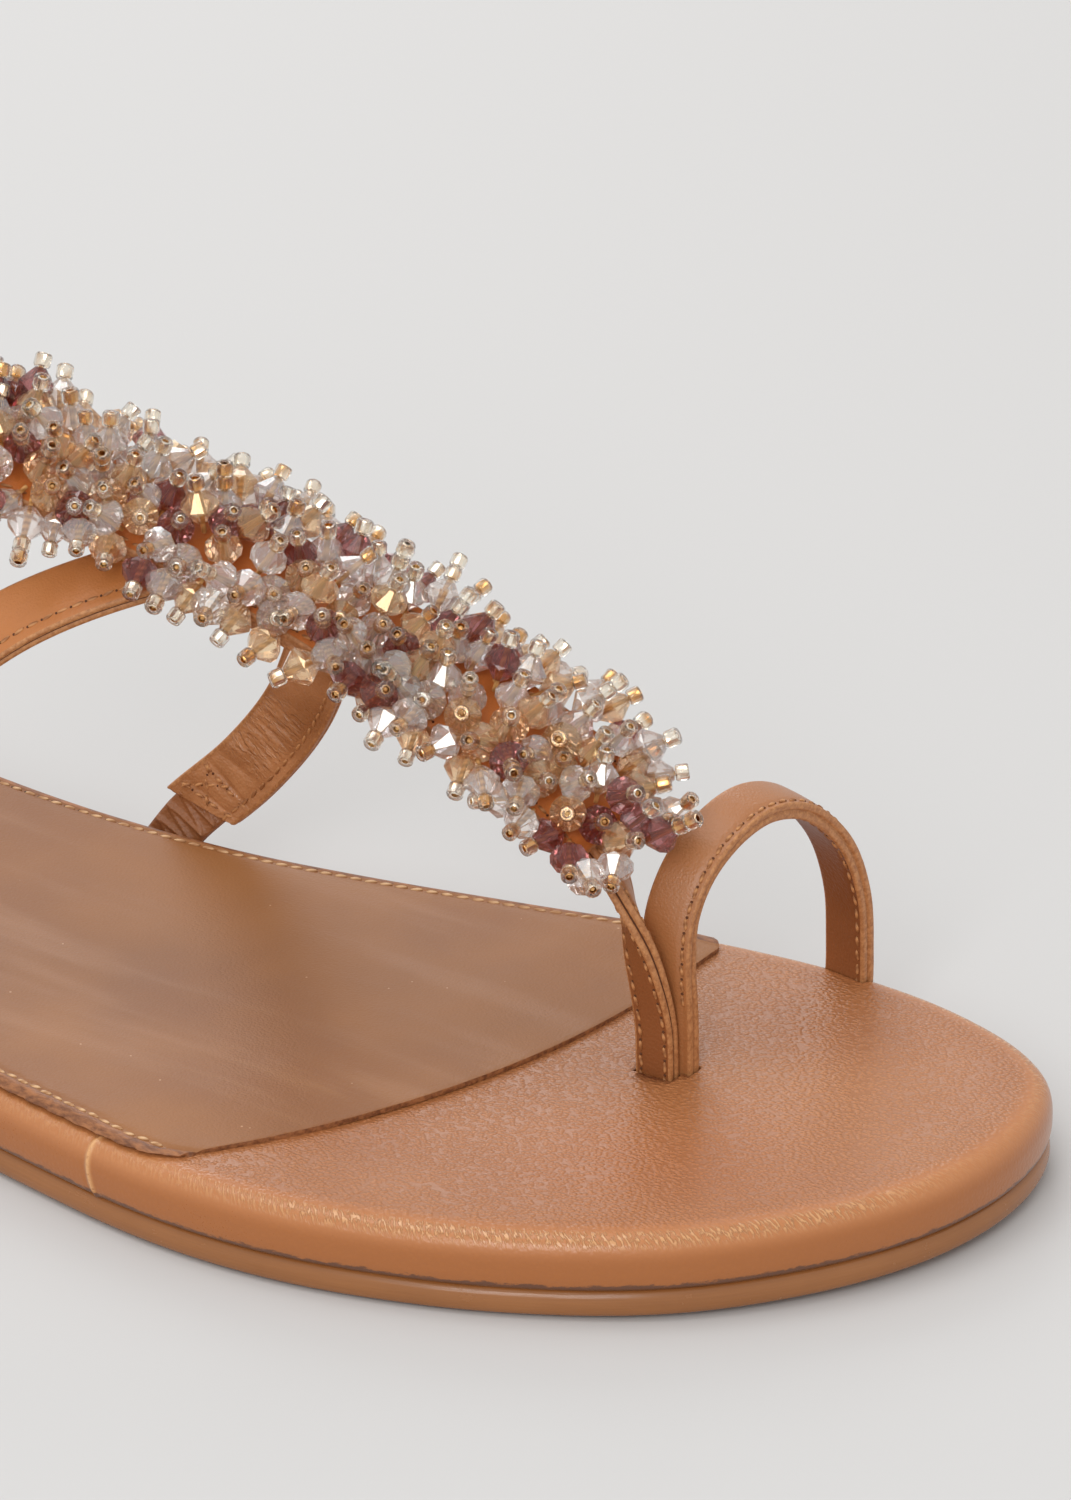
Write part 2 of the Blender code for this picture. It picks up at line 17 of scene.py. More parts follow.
import bmesh
import bpy
import numpy as np
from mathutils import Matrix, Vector


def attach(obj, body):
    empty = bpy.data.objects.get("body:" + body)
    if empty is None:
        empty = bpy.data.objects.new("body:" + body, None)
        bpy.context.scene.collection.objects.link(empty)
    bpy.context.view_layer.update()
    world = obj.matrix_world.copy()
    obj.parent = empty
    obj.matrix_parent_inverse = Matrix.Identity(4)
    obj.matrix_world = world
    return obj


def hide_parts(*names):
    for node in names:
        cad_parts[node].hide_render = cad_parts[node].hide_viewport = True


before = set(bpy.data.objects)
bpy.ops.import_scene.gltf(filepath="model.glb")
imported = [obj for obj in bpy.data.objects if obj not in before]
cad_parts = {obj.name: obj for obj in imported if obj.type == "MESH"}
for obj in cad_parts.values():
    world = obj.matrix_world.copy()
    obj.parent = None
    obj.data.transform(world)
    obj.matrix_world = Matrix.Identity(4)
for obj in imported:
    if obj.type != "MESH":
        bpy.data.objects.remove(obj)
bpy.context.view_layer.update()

log = logging.getLogger("sandal")
MM = 0.001
BODY = "root"
PHOTO_SIZE = (1071, 1500)

# names of the meshes' layers
EDGE_MAP = "edge_map"
SEAM = "seam"
UP = "up"
STALK = "stalk"
SPIN = "spin"
SIZE = "size"

Colour = tuple[float, float, float, float]
Span = tuple[float, float]
Line = tuple[np.ndarray, np.ndarray]


class PlanRow(NamedTuple):
    """Edge of the sole's plan at one station."""

    station: float
    lateral: float
    medial: float


class HeightRow(NamedTuple):
    """A height at one station."""

    station: float
    height: float


class EdgeRow(NamedTuple):
    """One level of a layer's edge: inset from the plan, share of the thickness."""

    inset: float
    share: float


class Bend(NamedTuple):
    """One bend of a strap, measured from the slot, and the way the strap's outer face looks there."""

    ahead: float
    across: float
    above: float
    face_ahead: float
    face_across: float
    face_above: float


class Crease(NamedTuple):
    """A soft trough across a strap, or with a negative depth a ridge, that fades out from its middle."""

    along: float
    depth: float
    width: float
    slant: float = 0.0
    middle: float = 0.0
    reach: float = 50.0


PLAN = (
    PlanRow(6, -17.6, 13.6),
    PlanRow(24, -26.8, 22.6),
    PlanRow(55, -28.6, 24.8),
    PlanRow(85, -29.0, 22.8),
    PlanRow(108, -30.2, 22.2),
    PlanRow(130, -32.4, 23.6),
    PlanRow(152, -36.8, 27.4),
    PlanRow(172, -39.6, 32.2),
    PlanRow(188, -38.8, 36.4),
    PlanRow(204, -34.4, 38.9),
    PlanRow(217, -28.3, 38.9),
    PlanRow(227, -21.4, 36.9),
    PlanRow(236, -11.4, 32.9),
    PlanRow(242, -1.0, 26.8),
)
GROUND_LINE = (
    HeightRow(0, 0.0),
    HeightRow(58, 0.0),
    HeightRow(59.5, 4.8),
    HeightRow(75, 4.3),
    HeightRow(98, 2.6),
    HeightRow(124, 0.8),
    HeightRow(148, 0.0),
    HeightRow(198, 0.0),
    HeightRow(216, 0.1),
    HeightRow(230, 0.4),
    HeightRow(245, 1.0),
)
CUP_DEPTH = (
    HeightRow(0, 0.0),
    HeightRow(8, 0.1),
    HeightRow(40, 1.4),
    HeightRow(100, 0.7),
    HeightRow(165, 0.9),
    HeightRow(215, 0.3),
    HeightRow(245, 0.0),
)
OUTSOLE_EDGE = (
    EdgeRow(1.3, 0.0),
    EdgeRow(0.6, 0.1),
    EdgeRow(0.26, 0.28),
    EdgeRow(0.18, 0.5),
    EdgeRow(0.28, 0.72),
    EdgeRow(0.62, 0.9),
    EdgeRow(1.1, 1.0),
)
FOOTBED_EDGE = (
    EdgeRow(0.6, 0.0),
    EdgeRow(0.22, 0.06),
    EdgeRow(0.02, 0.26),
    EdgeRow(0.04, 0.46),
    EdgeRow(0.26, 0.66),
    EdgeRow(0.75, 0.82),
    EdgeRow(1.5, 0.92),
    EdgeRow(2.6, 0.97),
    EdgeRow(4.0, 0.992),
    EdgeRow(6.0, 1.0),
)
BAR_FACE = (0.0, -0.26, 0.97)
BAR_PATH = tuple(
    Bend(*spot, *BAR_FACE)
    for spot in (
        (-7.0, 8.0, 26.2),
        (-14.5, 7.6, 31.7),
        (-23.0, 6.7, 36.0),
        (-33.0, 5.3, 40.8),
        (-43.0, 3.5, 45.2),
        (-54.0, 1.2, 49.4),
        (-65.0, -1.6, 53.2),
        (-76.0, -4.8, 56.7),
        (-92.0, -9.8, 61.0),
    )
)
THONG_PATH = (
    Bend(-1.0, 7.5, -5.8, 0.0, 1.0, 0.0),
    Bend(-1.0, 7.5, 0.0, 0.0, 1.0, 0.0),
    Bend(-1.2, 7.3, 6.0, 0.02, 1.0, 0.0),
    Bend(-2.1, 6.5, 12.5, 0.25, 0.95, 0.15),
    Bend(-3.9, 6.2, 18.5, 0.55, 0.55, 0.5),
    Bend(-7.8, 6.8, 24.2, 0.6, 0.15, 0.8),
    Bend(-14.5, 7.4, 29.4, 0.55, -0.22, 0.8),
    Bend(-20.0, 6.8, 32.8, 0.5, -0.26, 0.85),
)
MEDIAL_PATH = (
    Bend(-42.5, 1.5, 43.3, 0.3, -0.26, 0.95),
    Bend(-44.0, 8.5, 45.0, 0.3, 0.1, 0.95),
    Bend(-48.0, 15.5, 39.4, 0.2, 0.75, 0.6),
    Bend(-54.5, 20.8, 26.8, 0.1, 0.95, 0.3),
    Bend(-60.0, 23.9, 18.4, 0.0, 1.0, 0.1),
    Bend(-66.5, 25.0, 10.4, 0.0, 1.0, 0.0),
    Bend(-72.5, 24.45, 4.3, 0.0, 1.0, -0.05),
)
ELASTIC_PATH = (
    Bend(-67.5, 25.75, 9.4, 0.0, 1.0, 0.0),
    Bend(-71.65, 25.0, 5.15, 0.0, 1.0, -0.05),
    Bend(-74.5, 24.1, 2.0, 0.0, 1.0, -0.1),
    Bend(-77.0, 23.5, -1.6, 0.0, 1.0, -0.1),
    Bend(-78.2, 23.1, -3.5, 0.0, 1.0, -0.1),
)
LATERAL_PATH = (
    Bend(-52.0, 3.0, 47.5, 0.3, -0.26, 0.9),
    Bend(-58.5, -6.0, 47.7, 0.2, -0.36, 0.9),
    Bend(-69.5, -14.8, 42.0, 0.1, -0.62, 0.8),
    Bend(-79.5, -23.3, 31.5, 0.1, -0.85, 0.5),
    Bend(-87.0, -29.0, 18.5, 0.0, -0.97, 0.2),
    Bend(-91.5, -31.0, 7.0, 0.0, -1.0, 0.05),
    Bend(-93.0, -30.7, 0.5, 0.0, -1.0, -0.05),
    Bend(-93.6, -30.3, -4.25, 0.0, -1.0, -0.1),
)
RING_PATH = (
    Bend(-0.5, 9.7, -5.8, 0.0, -1.0, 0.0),
    Bend(-0.5, 9.7, 0.0, 0.0, -1.0, 0.0),
    Bend(-0.6, 9.65, 6.0, 0.02, -1.0, 0.0),
    Bend(-0.9, 9.5, 12.0, 0.08, -1.0, 0.05),
    Bend(-1.1, 10.4, 17.2, 0.16, -0.93, 0.36),
    Bend(-0.6, 13.2, 21.8, 0.2, -0.65, 0.76),
    Bend(0.4, 17.8, 24.9, 0.2, -0.25, 0.97),
    Bend(1.3, 23.3, 25.5, 0.2, 0.2, 0.98),
    Bend(2.2, 29.3, 23.0, 0.2, 0.55, 0.84),
    Bend(3.2, 34.6, 17.2, 0.2, 0.82, 0.57),
    Bend(3.8, 37.3, 10.0, 0.2, 0.97, 0.22),
    Bend(3.9, 37.9, 2.5, 0.2, 1.0, 0.0),
    Bend(3.9, 37.8, -2.0, 0.2, 1.0, -0.03),
    Bend(3.9, 37.5, -5.6, 0.2, 1.0, -0.08),
)
MEDIAL_WRINKLES = (
    Crease(41.0, 0.12, 0.24, -0.1, -2.4, 1.3),
    Crease(42.1, 0.2, 0.3, 0.05, -1.2, 1.8),
    Crease(43.0, 0.14, 0.22, 0.2, -2.6, 1.2),
    Crease(44.2, 0.26, 0.32, -0.05, -0.8, 2.0),
    Crease(45.0, 0.16, 0.22, 0.12, -2.2, 1.5),
    Crease(46.3, 0.28, 0.3, 0.02, -0.4, 2.2),
    Crease(47.5, 0.2, 0.26, -0.12, -1.8, 1.6),
    Crease(48.3, 0.24, 0.26, 0.1, 0.2, 1.7),
    Crease(49.6, 0.24, 0.3, 0.0, -0.2, 1.9),
    Crease(51.0, 0.16, 0.3, 0.14, 0.6, 1.5),
    Crease(52.2, -0.4, 1.4, 0.1, -1.8, 1.4),
    Crease(54.0, 0.2, 0.5, -0.3, -0.6, 2.6),
    Crease(56.9, 0.24, 0.34, 0.0, 0.0, 3.2),
    Crease(58.6, -0.12, 0.5, 0.0, 0.0, 2.4),
    Crease(60.2, 0.2, 0.34, 0.0, 0.0, 3.2),
)


class Curve:
    """A cubic through knots, read at whole arrays of places."""

    def __init__(self, knots: Sequence[Sequence[float]], limited: bool = False) -> None:
        """Work out the slope at every knot.

        Args:
            knots: pairs of place and value, with the places rising.
            limited: keep flat stretches flat, with no overshoot.
        """
        self.x, self.y = (np.array(column, float) for column in zip(*knots))
        secant = np.diff(self.y) / np.diff(self.x)
        middle = (self.y[2:] - self.y[:-2]) / (self.x[2:] - self.x[:-2])
        if limited:
            before, after = secant[:-1], secant[1:]
            rising = before * after > 0
            middle = np.where(rising, 2 * before * after / np.where(rising, before + after, 1.0), 0.0)
        self.slope = np.concatenate([secant[:1], middle, secant[-1:]])

    def __call__(self, place: Any) -> np.ndarray:
        """Value of the curve at each place.

        Args:
            place: one place or an array of them.

        Returns:
            An array of the same shape.
        """
        place = np.asarray(place, float)
        i = np.clip(np.searchsorted(self.x, place) - 1, 0, len(self.x) - 2)
        span = self.x[i + 1] - self.x[i]
        u = (place - self.x[i]) / span
        value = self.y[i] * (1 + 2 * u) * (1 - u) ** 2 + self.y[i + 1] * u * u * (3 - 2 * u)
        return value + span * (self.slope[i] * u * (1 - u) ** 2 - self.slope[i + 1] * u * u * (1 - u))


@dataclass(frozen=True)
class Last:
    """The sandal's plan and heights, as functions of station and of the angle round the sole."""

    length: float = 245.0
    heel_tip: float = -2.0
    toe_tip: float = 13.5
    outsole: float = 3.2
    footbed: float = 6.0
    sock: float = 1.2
    gap: float = 0.3
    snug: float = 0.06
    heel_seat: float = 8.0
    heel_back: float = 8.2
    heel_breast: float = 58.0
    slot_station: float = 206.0
    centre_shift: float = 0.35

    def angle(self, station: Any) -> np.ndarray:
        """Angle round the sole, from 0 at the heel tip to pi at the toe tip."""
        return np.arccos(1 - 2 * np.asarray(station, float) / self.length)

    @cached_property
    def outline(self) -> Curve:
        """Offset of the plan's edge by angle round the sole, with a lap over at both ends."""
        turn = 2 * math.pi
        lateral = [(float(self.angle(row.station)), row.lateral) for row in PLAN]
        medial = [(turn - float(self.angle(row.station)), row.medial) for row in reversed(PLAN)]
        loop = [(0.0, self.heel_tip)] + lateral + [(math.pi, self.toe_tip)] + medial
        before = [(angle - turn, across) for angle, across in loop[-2:]]
        after = [(angle + turn, across) for angle, across in loop[:3]]
        return Curve(before + loop + after)

    @cached_property
    def ground(self) -> Curve:
        """Underside of the outsole by station."""
        return Curve(GROUND_LINE, limited=True)

    @cached_property
    def seat(self) -> Curve:
        """Top of the outsole by station."""
        rows = [HeightRow(0, self.heel_back), HeightRow(self.heel_breast, self.heel_seat)]
        rows += [HeightRow(row.station, row.height + self.outsole) for row in GROUND_LINE[3:]]
        return Curve(rows, limited=True)

    @cached_property
    def cup(self) -> Curve:
        """Depth of the footbed's cup by station."""
        return Curve(CUP_DEPTH, limited=True)

    def bed_floor(self, station: np.ndarray) -> np.ndarray:
        """Underside of the footbed, close on the outsole."""
        return self.seat(station) + self.snug

    def bed_roof(self, station: np.ndarray) -> np.ndarray:
        """Top of the footbed along its rim."""
        return self.seat(station) + self.gap + self.footbed

    def sock_roof(self, station: np.ndarray) -> np.ndarray:
        """Top of the sock along its rim, with the sock close on the footbed."""
        return self.bed_roof(station) + self.snug + self.sock

    def rim(self, angle: np.ndarray, inset: float) -> tuple[np.ndarray, np.ndarray]:
        """Points inside the plan's edge, square to it.

        Args:
            angle: angles round the sole.
            inset: distance inside the edge.

        Returns:
            The points' stations and offsets across.
        """
        nudge = 0.002

        def edge(at: np.ndarray) -> np.ndarray:
            return np.stack([self.length / 2 * (1 - np.cos(at)), self.outline(at)], -1)

        along = edge(angle + nudge) - edge(angle - nudge)
        along /= np.linalg.norm(along, axis=-1, keepdims=True)
        here = edge(angle)
        return here[:, 0] - along[:, 1] * inset, here[:, 1] + along[:, 0] * inset

    def place(self, station: Any, across: Any, height: Any) -> np.ndarray:
        """Points of the last in the frame's metres.

        Args:
            station: distance from the heel tip.
            across: distance from the centre line.
            height: distance from the floor.

        Returns:
            An array of points.
        """
        station, across, height = np.broadcast_arrays(station, across, height)
        return np.stack([across + self.centre_shift, self.length / 2 - station, height], -1) * MM

    def from_slot(self, ahead: Any, across: Any, above: Any) -> np.ndarray:
        """Points measured from the slot, in the frame's metres."""
        top = self.outsole + self.gap + self.footbed
        return self.place(self.slot_station + np.asarray(ahead), across, top + np.asarray(above))


LAST = Last()


class Wire:
    """An output of a node that takes part in Python arithmetic."""

    def __init__(self, bench: "Bench", socket: bpy.types.NodeSocket) -> None:
        """Keep the socket and the bench that its node stands on."""
        self.bench = bench
        self.socket = socket

    def reckon(self, operation: str, other: Any, turned: bool = False) -> "Wire":
        """Add a Math node.

        Args:
            operation: the Math node's operation.
            other: the second number or wire.
            turned: the other value comes first.

        Returns:
            The result's wire.
        """
        first, second = (other, self) if turned else (self, other)
        return self.bench.node("ShaderNodeMath", {"operation": operation}, {0: first, 1: second})

    def __add__(self, other: Any) -> "Wire":
        """Sum."""
        return self.reckon("ADD", other)

    def __sub__(self, other: Any) -> "Wire":
        """Difference."""
        return self.reckon("SUBTRACT", other)

    def __rsub__(self, other: Any) -> "Wire":
        """Difference with the other value first."""
        return self.reckon("SUBTRACT", other, turned=True)

    def __mul__(self, other: Any) -> "Wire":
        """Product."""
        return self.reckon("MULTIPLY", other)

    def within(self, low: float, high: float) -> "Wire":
        """Share of the way from low to high, held between 0 and 1.

        Args:
            low: where the share is 0.
            high: where it is 1.

        Returns:
            The share's wire, soft at both ends.
        """
        settings = {"clamp": True, "interpolation_type": "SMOOTHSTEP"}
        sockets = {"Value": self, "From Min": low, "From Max": high}
        return self.bench.node("ShaderNodeMapRange", settings, sockets)


class Bench:
    """One material's node tree, with its shader."""

    def __init__(self, name: str, **constants: Any) -> None:
        """Start a material with a Principled shader.

        Args:
            name: the material's name.
            constants: values of the shader's sockets, with underscores for spaces.
        """
        self.material = bpy.data.materials.new(name)
        self.material.use_nodes = True
        self.tree = self.material.node_tree
        self.shader = self.tree.nodes["Principled BSDF"]
        for socket, value in constants.items():
            self.shader.inputs[socket.replace("_", " ")].default_value = value

    def node(self, kind: str, settings: dict, sockets: dict, output: Any = 0) -> Wire:
        """Add any node.

        Args:
            kind: the node's type.
            settings: its properties, set first.
            sockets: values or wires of its inputs, by name or number.
            output: the output wanted, by name or number.

        Returns:
            That output's wire.
        """
        node = self.tree.nodes.new(kind)
        for key, value in settings.items():
            setattr(node, key, value)
        for key, value in sockets.items():
            if isinstance(value, Wire):
                self.tree.links.new(value.socket, node.inputs[key])
            else:
                node.inputs[key].default_value = value
        return Wire(self, node.outputs[output])

    def feed(self, socket: str, wire: Wire) -> None:
        """Link a wire to one of the shader's sockets."""
        self.tree.links.new(wire.socket, self.shader.inputs[socket])

    def place(self) -> Wire:
        """Object coordinates, in metres."""
        return self.node("ShaderNodeTexCoord", {}, {}, "Object")

    def stretch(self, vector: Wire, scale: Sequence[float], turn: Sequence[float] = (0, 0, 0)) -> Wire:
        """Coordinates turned and stretched."""
        sockets = {"Vector": vector, "Scale": scale, "Rotation": turn}
        return self.node("ShaderNodeMapping", {}, sockets)

    def noise(self, vector: Wire, size: float, detail: float = 2.0, rough: float = 0.5) -> Wire:
        """Soft noise from 0 to 1, with lumps of a size in millimetres."""
        sockets = {"Vector": vector, "Scale": 1 / (size * MM), "Detail": detail, "Roughness": rough}
        return self.node("ShaderNodeTexNoise", {}, sockets, "Fac")

    def swayed(self, vector: Wire, size: float, reach: float) -> Wire:
        """Coordinates with a soft random shift.

        Args:
            vector: the coordinates.
            size: size of the lumps that shift together, in millimetres.
            reach: the largest shift, in millimetres.

        Returns:
            The shifted coordinates.
        """
        lumps = self.node("ShaderNodeTexNoise", {}, {"Vector": vector, "Scale": 1 / (size * MM)}, "Color")
        shift = self.node("ShaderNodeVectorMath", {"operation": "SCALE"}, {0: lumps, "Scale": reach * MM})
        return self.node("ShaderNodeVectorMath", {"operation": "ADD"}, {0: vector, 1: shift})

    def cells(self, vector: Wire, size: float) -> Wire:
        """Distance to the nearest seed of cells of a size in millimetres."""
        return self.node("ShaderNodeTexVoronoi", {}, {"Vector": vector, "Scale": 1 / (size * MM)})

    def mix(self, share: Any, first: Any, second: Any) -> Wire:
        """Colour between two colours."""
        sockets = {0: share, 6: first, 7: second}
        return self.node("ShaderNodeMix", {"data_type": "RGBA"}, sockets, 2)

    def part(self, vector: Wire, axis: str) -> Wire:
        """One coordinate of a vector."""
        return self.node("ShaderNodeSeparateXYZ", {}, {0: vector}, axis)

    def edge(self) -> Wire:
        """Distances along an edge and down from its top, in metres."""
        return self.node("ShaderNodeUVMap", {"uv_map": EDGE_MAP}, {})

    def bump(self, height: Wire, depth: float) -> None:
        """Feed the shader's normal from a height of a depth in millimetres."""
        sockets = {"Height": height, "Distance": depth * MM, "Strength": 1.0}
        self.feed("Normal", self.node("ShaderNodeBump", {}, sockets))


def colour(red: int, green: int, blue: int) -> Colour:
    """A screen colour as linear light.

    Args:
        red: red from 0 to 255.
        green: green from 0 to 255.
        blue: blue from 0 to 255.

    Returns:
        Red, green and blue as linear light, and an alpha of 1.
    """
    def linear(value: int) -> float:
        share = value / 255
        return share / 12.92 if share <= 0.04045 else ((share + 0.055) / 1.055) ** 2.4

    return (linear(red), linear(green), linear(blue), 1.0)


@dataclass(frozen=True)
class PebbledLeather:
    """Tan wrapping leather with a pebbled grain that crinkles over the rounded edge.

    Painted shade lies in the grain's valleys, on the smooth strip by the edge and on its side, along the
    joint with the outsole and in a patch where the thong's reflection falls; painted highlight specks lie
    on the shoulder. Spans are in metres: brink, side, rim and foot lie down the edge, and the specks along
    the sandal.
    """

    name: str = "pebbled_leather"
    light: Colour = colour(192, 128, 80)
    deep: Colour = colour(178, 114, 68)
    # Painted shade: the smooth strip by the edge and the edge's side are deeper, darker orange than the
    # top, where less light and sheen fall.
    band_shade: Colour = colour(190, 122, 72)
    flank_shade: Colour = colour(170, 101, 44)
    # Painted shade in the valleys between the pebbles.
    valley_shade: Colour = colour(120, 68, 36)
    # Pale raw colour of the wrap's seam, also used for the painted highlight specks on the shoulder.
    raw: Colour = colour(238, 186, 128)
    # Painted shade: dark brown for the line where the footbed's edge meets the outsole.
    joint_shade: Colour = colour(104, 62, 36)
    # Painted shade: a soft patch of deeper orange on the top, where the thong's reflection and shadow fall.
    worn: Colour = colour(178, 104, 50)
    shade_patch_at: tuple[float, float, float] = (-0.009, -0.094, 0.009)
    shade_patch_reach: float = 0.024
    pebble: float = 0.5
    crinkle: float = 0.27
    roughness: float = 0.4
    relief: float = 0.11
    brink: Span = (0.0020, 0.0042)
    side: Span = (0.0056, 0.0075)
    # The strip on the shoulder that carries the painted highlight specks and the coat.
    highlight_band_start: Span = (0.0036, 0.0043)
    highlight_band_end: Span = (0.0050, 0.0064)
    # Where the painted shade of the joint with the outsole lies, and how ragged it is.
    foot: Span = (0.0107, 0.0110)
    foot_ragged: float = 0.0016
    # Where the painted highlight specks start and fade along the sandal.
    specks_start: Span = (-0.1235, -0.113)
    specks_fade: Span = (-0.080, -0.045)
    specks_lost: float = 0.75

    def make(self) -> bpy.types.Material:
        """Build the material.

        Returns:
            The finished material.
        """
        bench = Bench(self.name, Coat_Roughness=0.16, Specular_IOR_Level=0.55)
        at = bench.place()
        scales = bench.stretch(bench.swayed(at, 2.0, 0.12), (1.2, 0.9, 1.0), (0.0, 0.0, 0.5))
        domes = 1 - bench.cells(scales, self.pebble).within(0.1, 0.75)
        tone = bench.noise(at, 26.0, 3.0)
        fine = bench.noise(at, 0.22)
        edge = bench.edge()
        down = bench.part(edge, "Y")
        brink = down.within(*self.brink)
        side = down.within(*self.side)
        rim = down.within(*self.highlight_band_start) * (1 - down.within(*self.highlight_band_end))
        # Painted shade along the joint with the outsole: a ragged dark line at the foot of the edge.
        ragged = bench.noise(bench.stretch(edge, (0.4, 1.0, 1.0)), 0.7, 4.0, 0.75) * self.foot_ragged
        foot = (down + ragged).within(*self.foot)
        # Crinkle ticks: bumps, and on the shoulder pale painted highlight specks.
        slanted = bench.stretch(edge, (1.0, 1.0, 1.0), (0.0, 0.0, 0.45))
        ticks = bench.noise(bench.stretch(slanted, (1.0, 0.26, 1.0)), self.crinkle, 2.0).within(0.45, 0.6)
        toward = bench.part(at, "Y")
        ticks = ticks * (1 - toward.within(*self.specks_fade) * self.specks_lost)
        ticks = ticks * toward.within(*self.specks_start)
        seam = bench.node("ShaderNodeAttribute", {"attribute_name": SEAM}, {}, "Fac")
        grain = 1 - brink * 0.85
        base = bench.mix(tone.within(0.3, 0.7), self.deep, self.light)
        # Painted shade: the top turns deeper orange towards the middle of the patch, where the thong's
        # reflection and shadow fall.
        ends = {0: at, 1: self.shade_patch_at}
        far = bench.node("ShaderNodeVectorMath", {"operation": "DISTANCE"}, ends, "Value")
        base = bench.mix((1 - far.within(0.0, self.shade_patch_reach)) * 0.6, base, self.worn)
        # Painted shade: deeper orange on the smooth strip by the edge and darker orange on the side.
        base = bench.mix(brink * 0.6, base, self.band_shade)
        base = bench.mix(side, base, self.flank_shade)
        # Painted shade: darker colour in the valleys between the pebbles.
        base = bench.mix((1 - domes) * grain * 0.36, base, self.valley_shade)
        # Painted highlight: a faint pale strip and pale crinkle specks on the shoulder, where it catches
        # the light.
        base = bench.mix(rim * 0.03, base, self.raw)
        base = bench.mix(ticks * rim * 0.46, base, self.raw)
        base = bench.mix(seam * bench.noise(at, 0.35).within(0.2, 0.5) * 0.7, base, self.raw)
        # The painted shade of the joint goes over everything else.
        bench.feed("Base Color", bench.mix(foot, base, self.joint_shade))
        bench.feed("Roughness", fine * 0.1 + tone * 0.08 - brink * 0.1 + (self.roughness - 0.09))
        bench.feed("Coat Weight", rim * ticks * 0.5 + side * 0.2 + 0.03)
        bench.bump(domes * grain * 0.9 + ticks * rim + fine * (1 - side) * 0.1, self.relief)
        return bench.material


@dataclass(frozen=True)
class SmoothLeather:
    """Close-grained leather in one colour that varies softly."""

    name: str
    light: Colour
    deep: Colour
    pore: float
    relief: float
    roughness: float
    shine: float = 0.5
    cloud: float = 30.0
    streak: float = 0.0
    dust: float = 0.0
    crinkle: float = 0.0
    crinkle_span: Span = (38.0, 55.0)
    crinkle_fade: float = 4.0
    crinkle_face: Span = (10.5, 12.5)
    dust_tint: Colour = colour(214, 176, 140)

    def make(self) -> bpy.types.Material:
        """Build the material.

        Returns:
            The finished material.
        """
        bench = Bench(self.name, Specular_IOR_Level=self.shine)
        at = bench.place()
        tone = bench.noise(at, self.cloud, 3.0)
        pores = bench.cells(at, self.pore)
        fine = bench.noise(at, self.pore * 0.6)
        base = bench.mix(tone.within(0.3, 0.7), self.deep, self.light)
        base = bench.mix(fine.within(0.5, 0.8) * 0.18, base, self.deep)
        rough = tone * 0.12 + fine * 0.1 + (self.roughness - 0.11)
        if self.streak:
            rubbed = bench.noise(bench.stretch(at, (1.0, 0.12, 1.0), (0.0, 0.0, 0.12)), 7.0, 4.0, 0.6)
            base = bench.mix(rubbed.within(0.45, 0.7) * self.streak, base, self.light)
            rough = rough - rubbed.within(0.4, 0.7) * 0.12 * self.streak
        if self.dust:
            speck = 1 - bench.cells(at, 3.4).within(0.028, 0.046)
            base = bench.mix(speck * self.dust, base, self.dust_tint)
        bench.feed("Base Color", base)
        bench.feed("Roughness", rough)
        relief = (1 - pores) * 0.6 + fine * 0.6
        if self.crinkle:
            edge = bench.edge()
            along = bench.part(edge, "X")
            start, end = self.crinkle_span
            on = along.within(start * MM, (start + self.crinkle_fade) * MM)
            on = on * (1 - along.within((end - self.crinkle_fade) * MM, end * MM))
            on = on * bench.part(edge, "Y").within(*(place * MM for place in self.crinkle_face))
            bent = bench.stretch(bench.swayed(edge, 2.5, 0.7), (1.0, 0.34, 1.0))
            relief = relief + bench.noise(bent, 0.6, 2.0, 0.5).within(0.4, 0.62) * on * self.crinkle
        bench.bump(relief, self.relief)
        return bench.material


@dataclass(frozen=True)
class RawEdge:
    """Cut and rubbed edge of leather, fibrous and paler than the face."""

    name: str
    light: Colour
    deep: Colour
    fibre: float = 0.5
    relief: float = 0.05
    lay: float = 1.0
    roughness: float = 0.5

    def make(self) -> bpy.types.Material:
        """Build the material.

        Returns:
            The finished material.
        """
        bench = Bench(self.name)
        fibres = bench.noise(bench.stretch(bench.place(), (1.0, self.lay, 1.0)), self.fibre, 4.0, 0.65)
        bench.feed("Base Color", bench.mix(fibres.within(0.3, 0.7), self.deep, self.light))
        bench.feed("Roughness", fibres * 0.2 + (self.roughness - 0.1))
        bench.bump(fibres, self.relief)
        return bench.material


@dataclass(frozen=True)
class SoleLeather:
    """Brown sole leather, polished, streaked along its edge, with a few scuffs."""

    name: str = "sole_leather"
    light: Colour = colour(172, 114, 66)
    deep: Colour = colour(134, 84, 45)
    roughness: float = 0.25

    def make(self) -> bpy.types.Material:
        """Build the material.

        Returns:
            The finished material.
        """
        bench = Bench(self.name)
        at = bench.place()
        streak = bench.noise(bench.stretch(bench.edge(), (0.05, 1.0, 1.0)), 0.4, 3.0)
        tone = bench.noise(at, 14.0, 3.0)
        scuff = bench.noise(bench.stretch(at, (1.0, 0.4, 1.0)), 3.0, 5.0, 0.7).within(0.62, 0.72)
        base = bench.mix(tone * 0.6 + streak * 0.4, self.deep, self.light)
        bench.feed("Base Color", bench.mix(scuff * 0.25, base, self.light))
        bench.feed("Roughness", scuff * 0.25 + tone * 0.1 + (self.roughness - 0.05))
        bench.bump(streak * 0.6 + tone * 0.4, 0.06)
        return bench.material


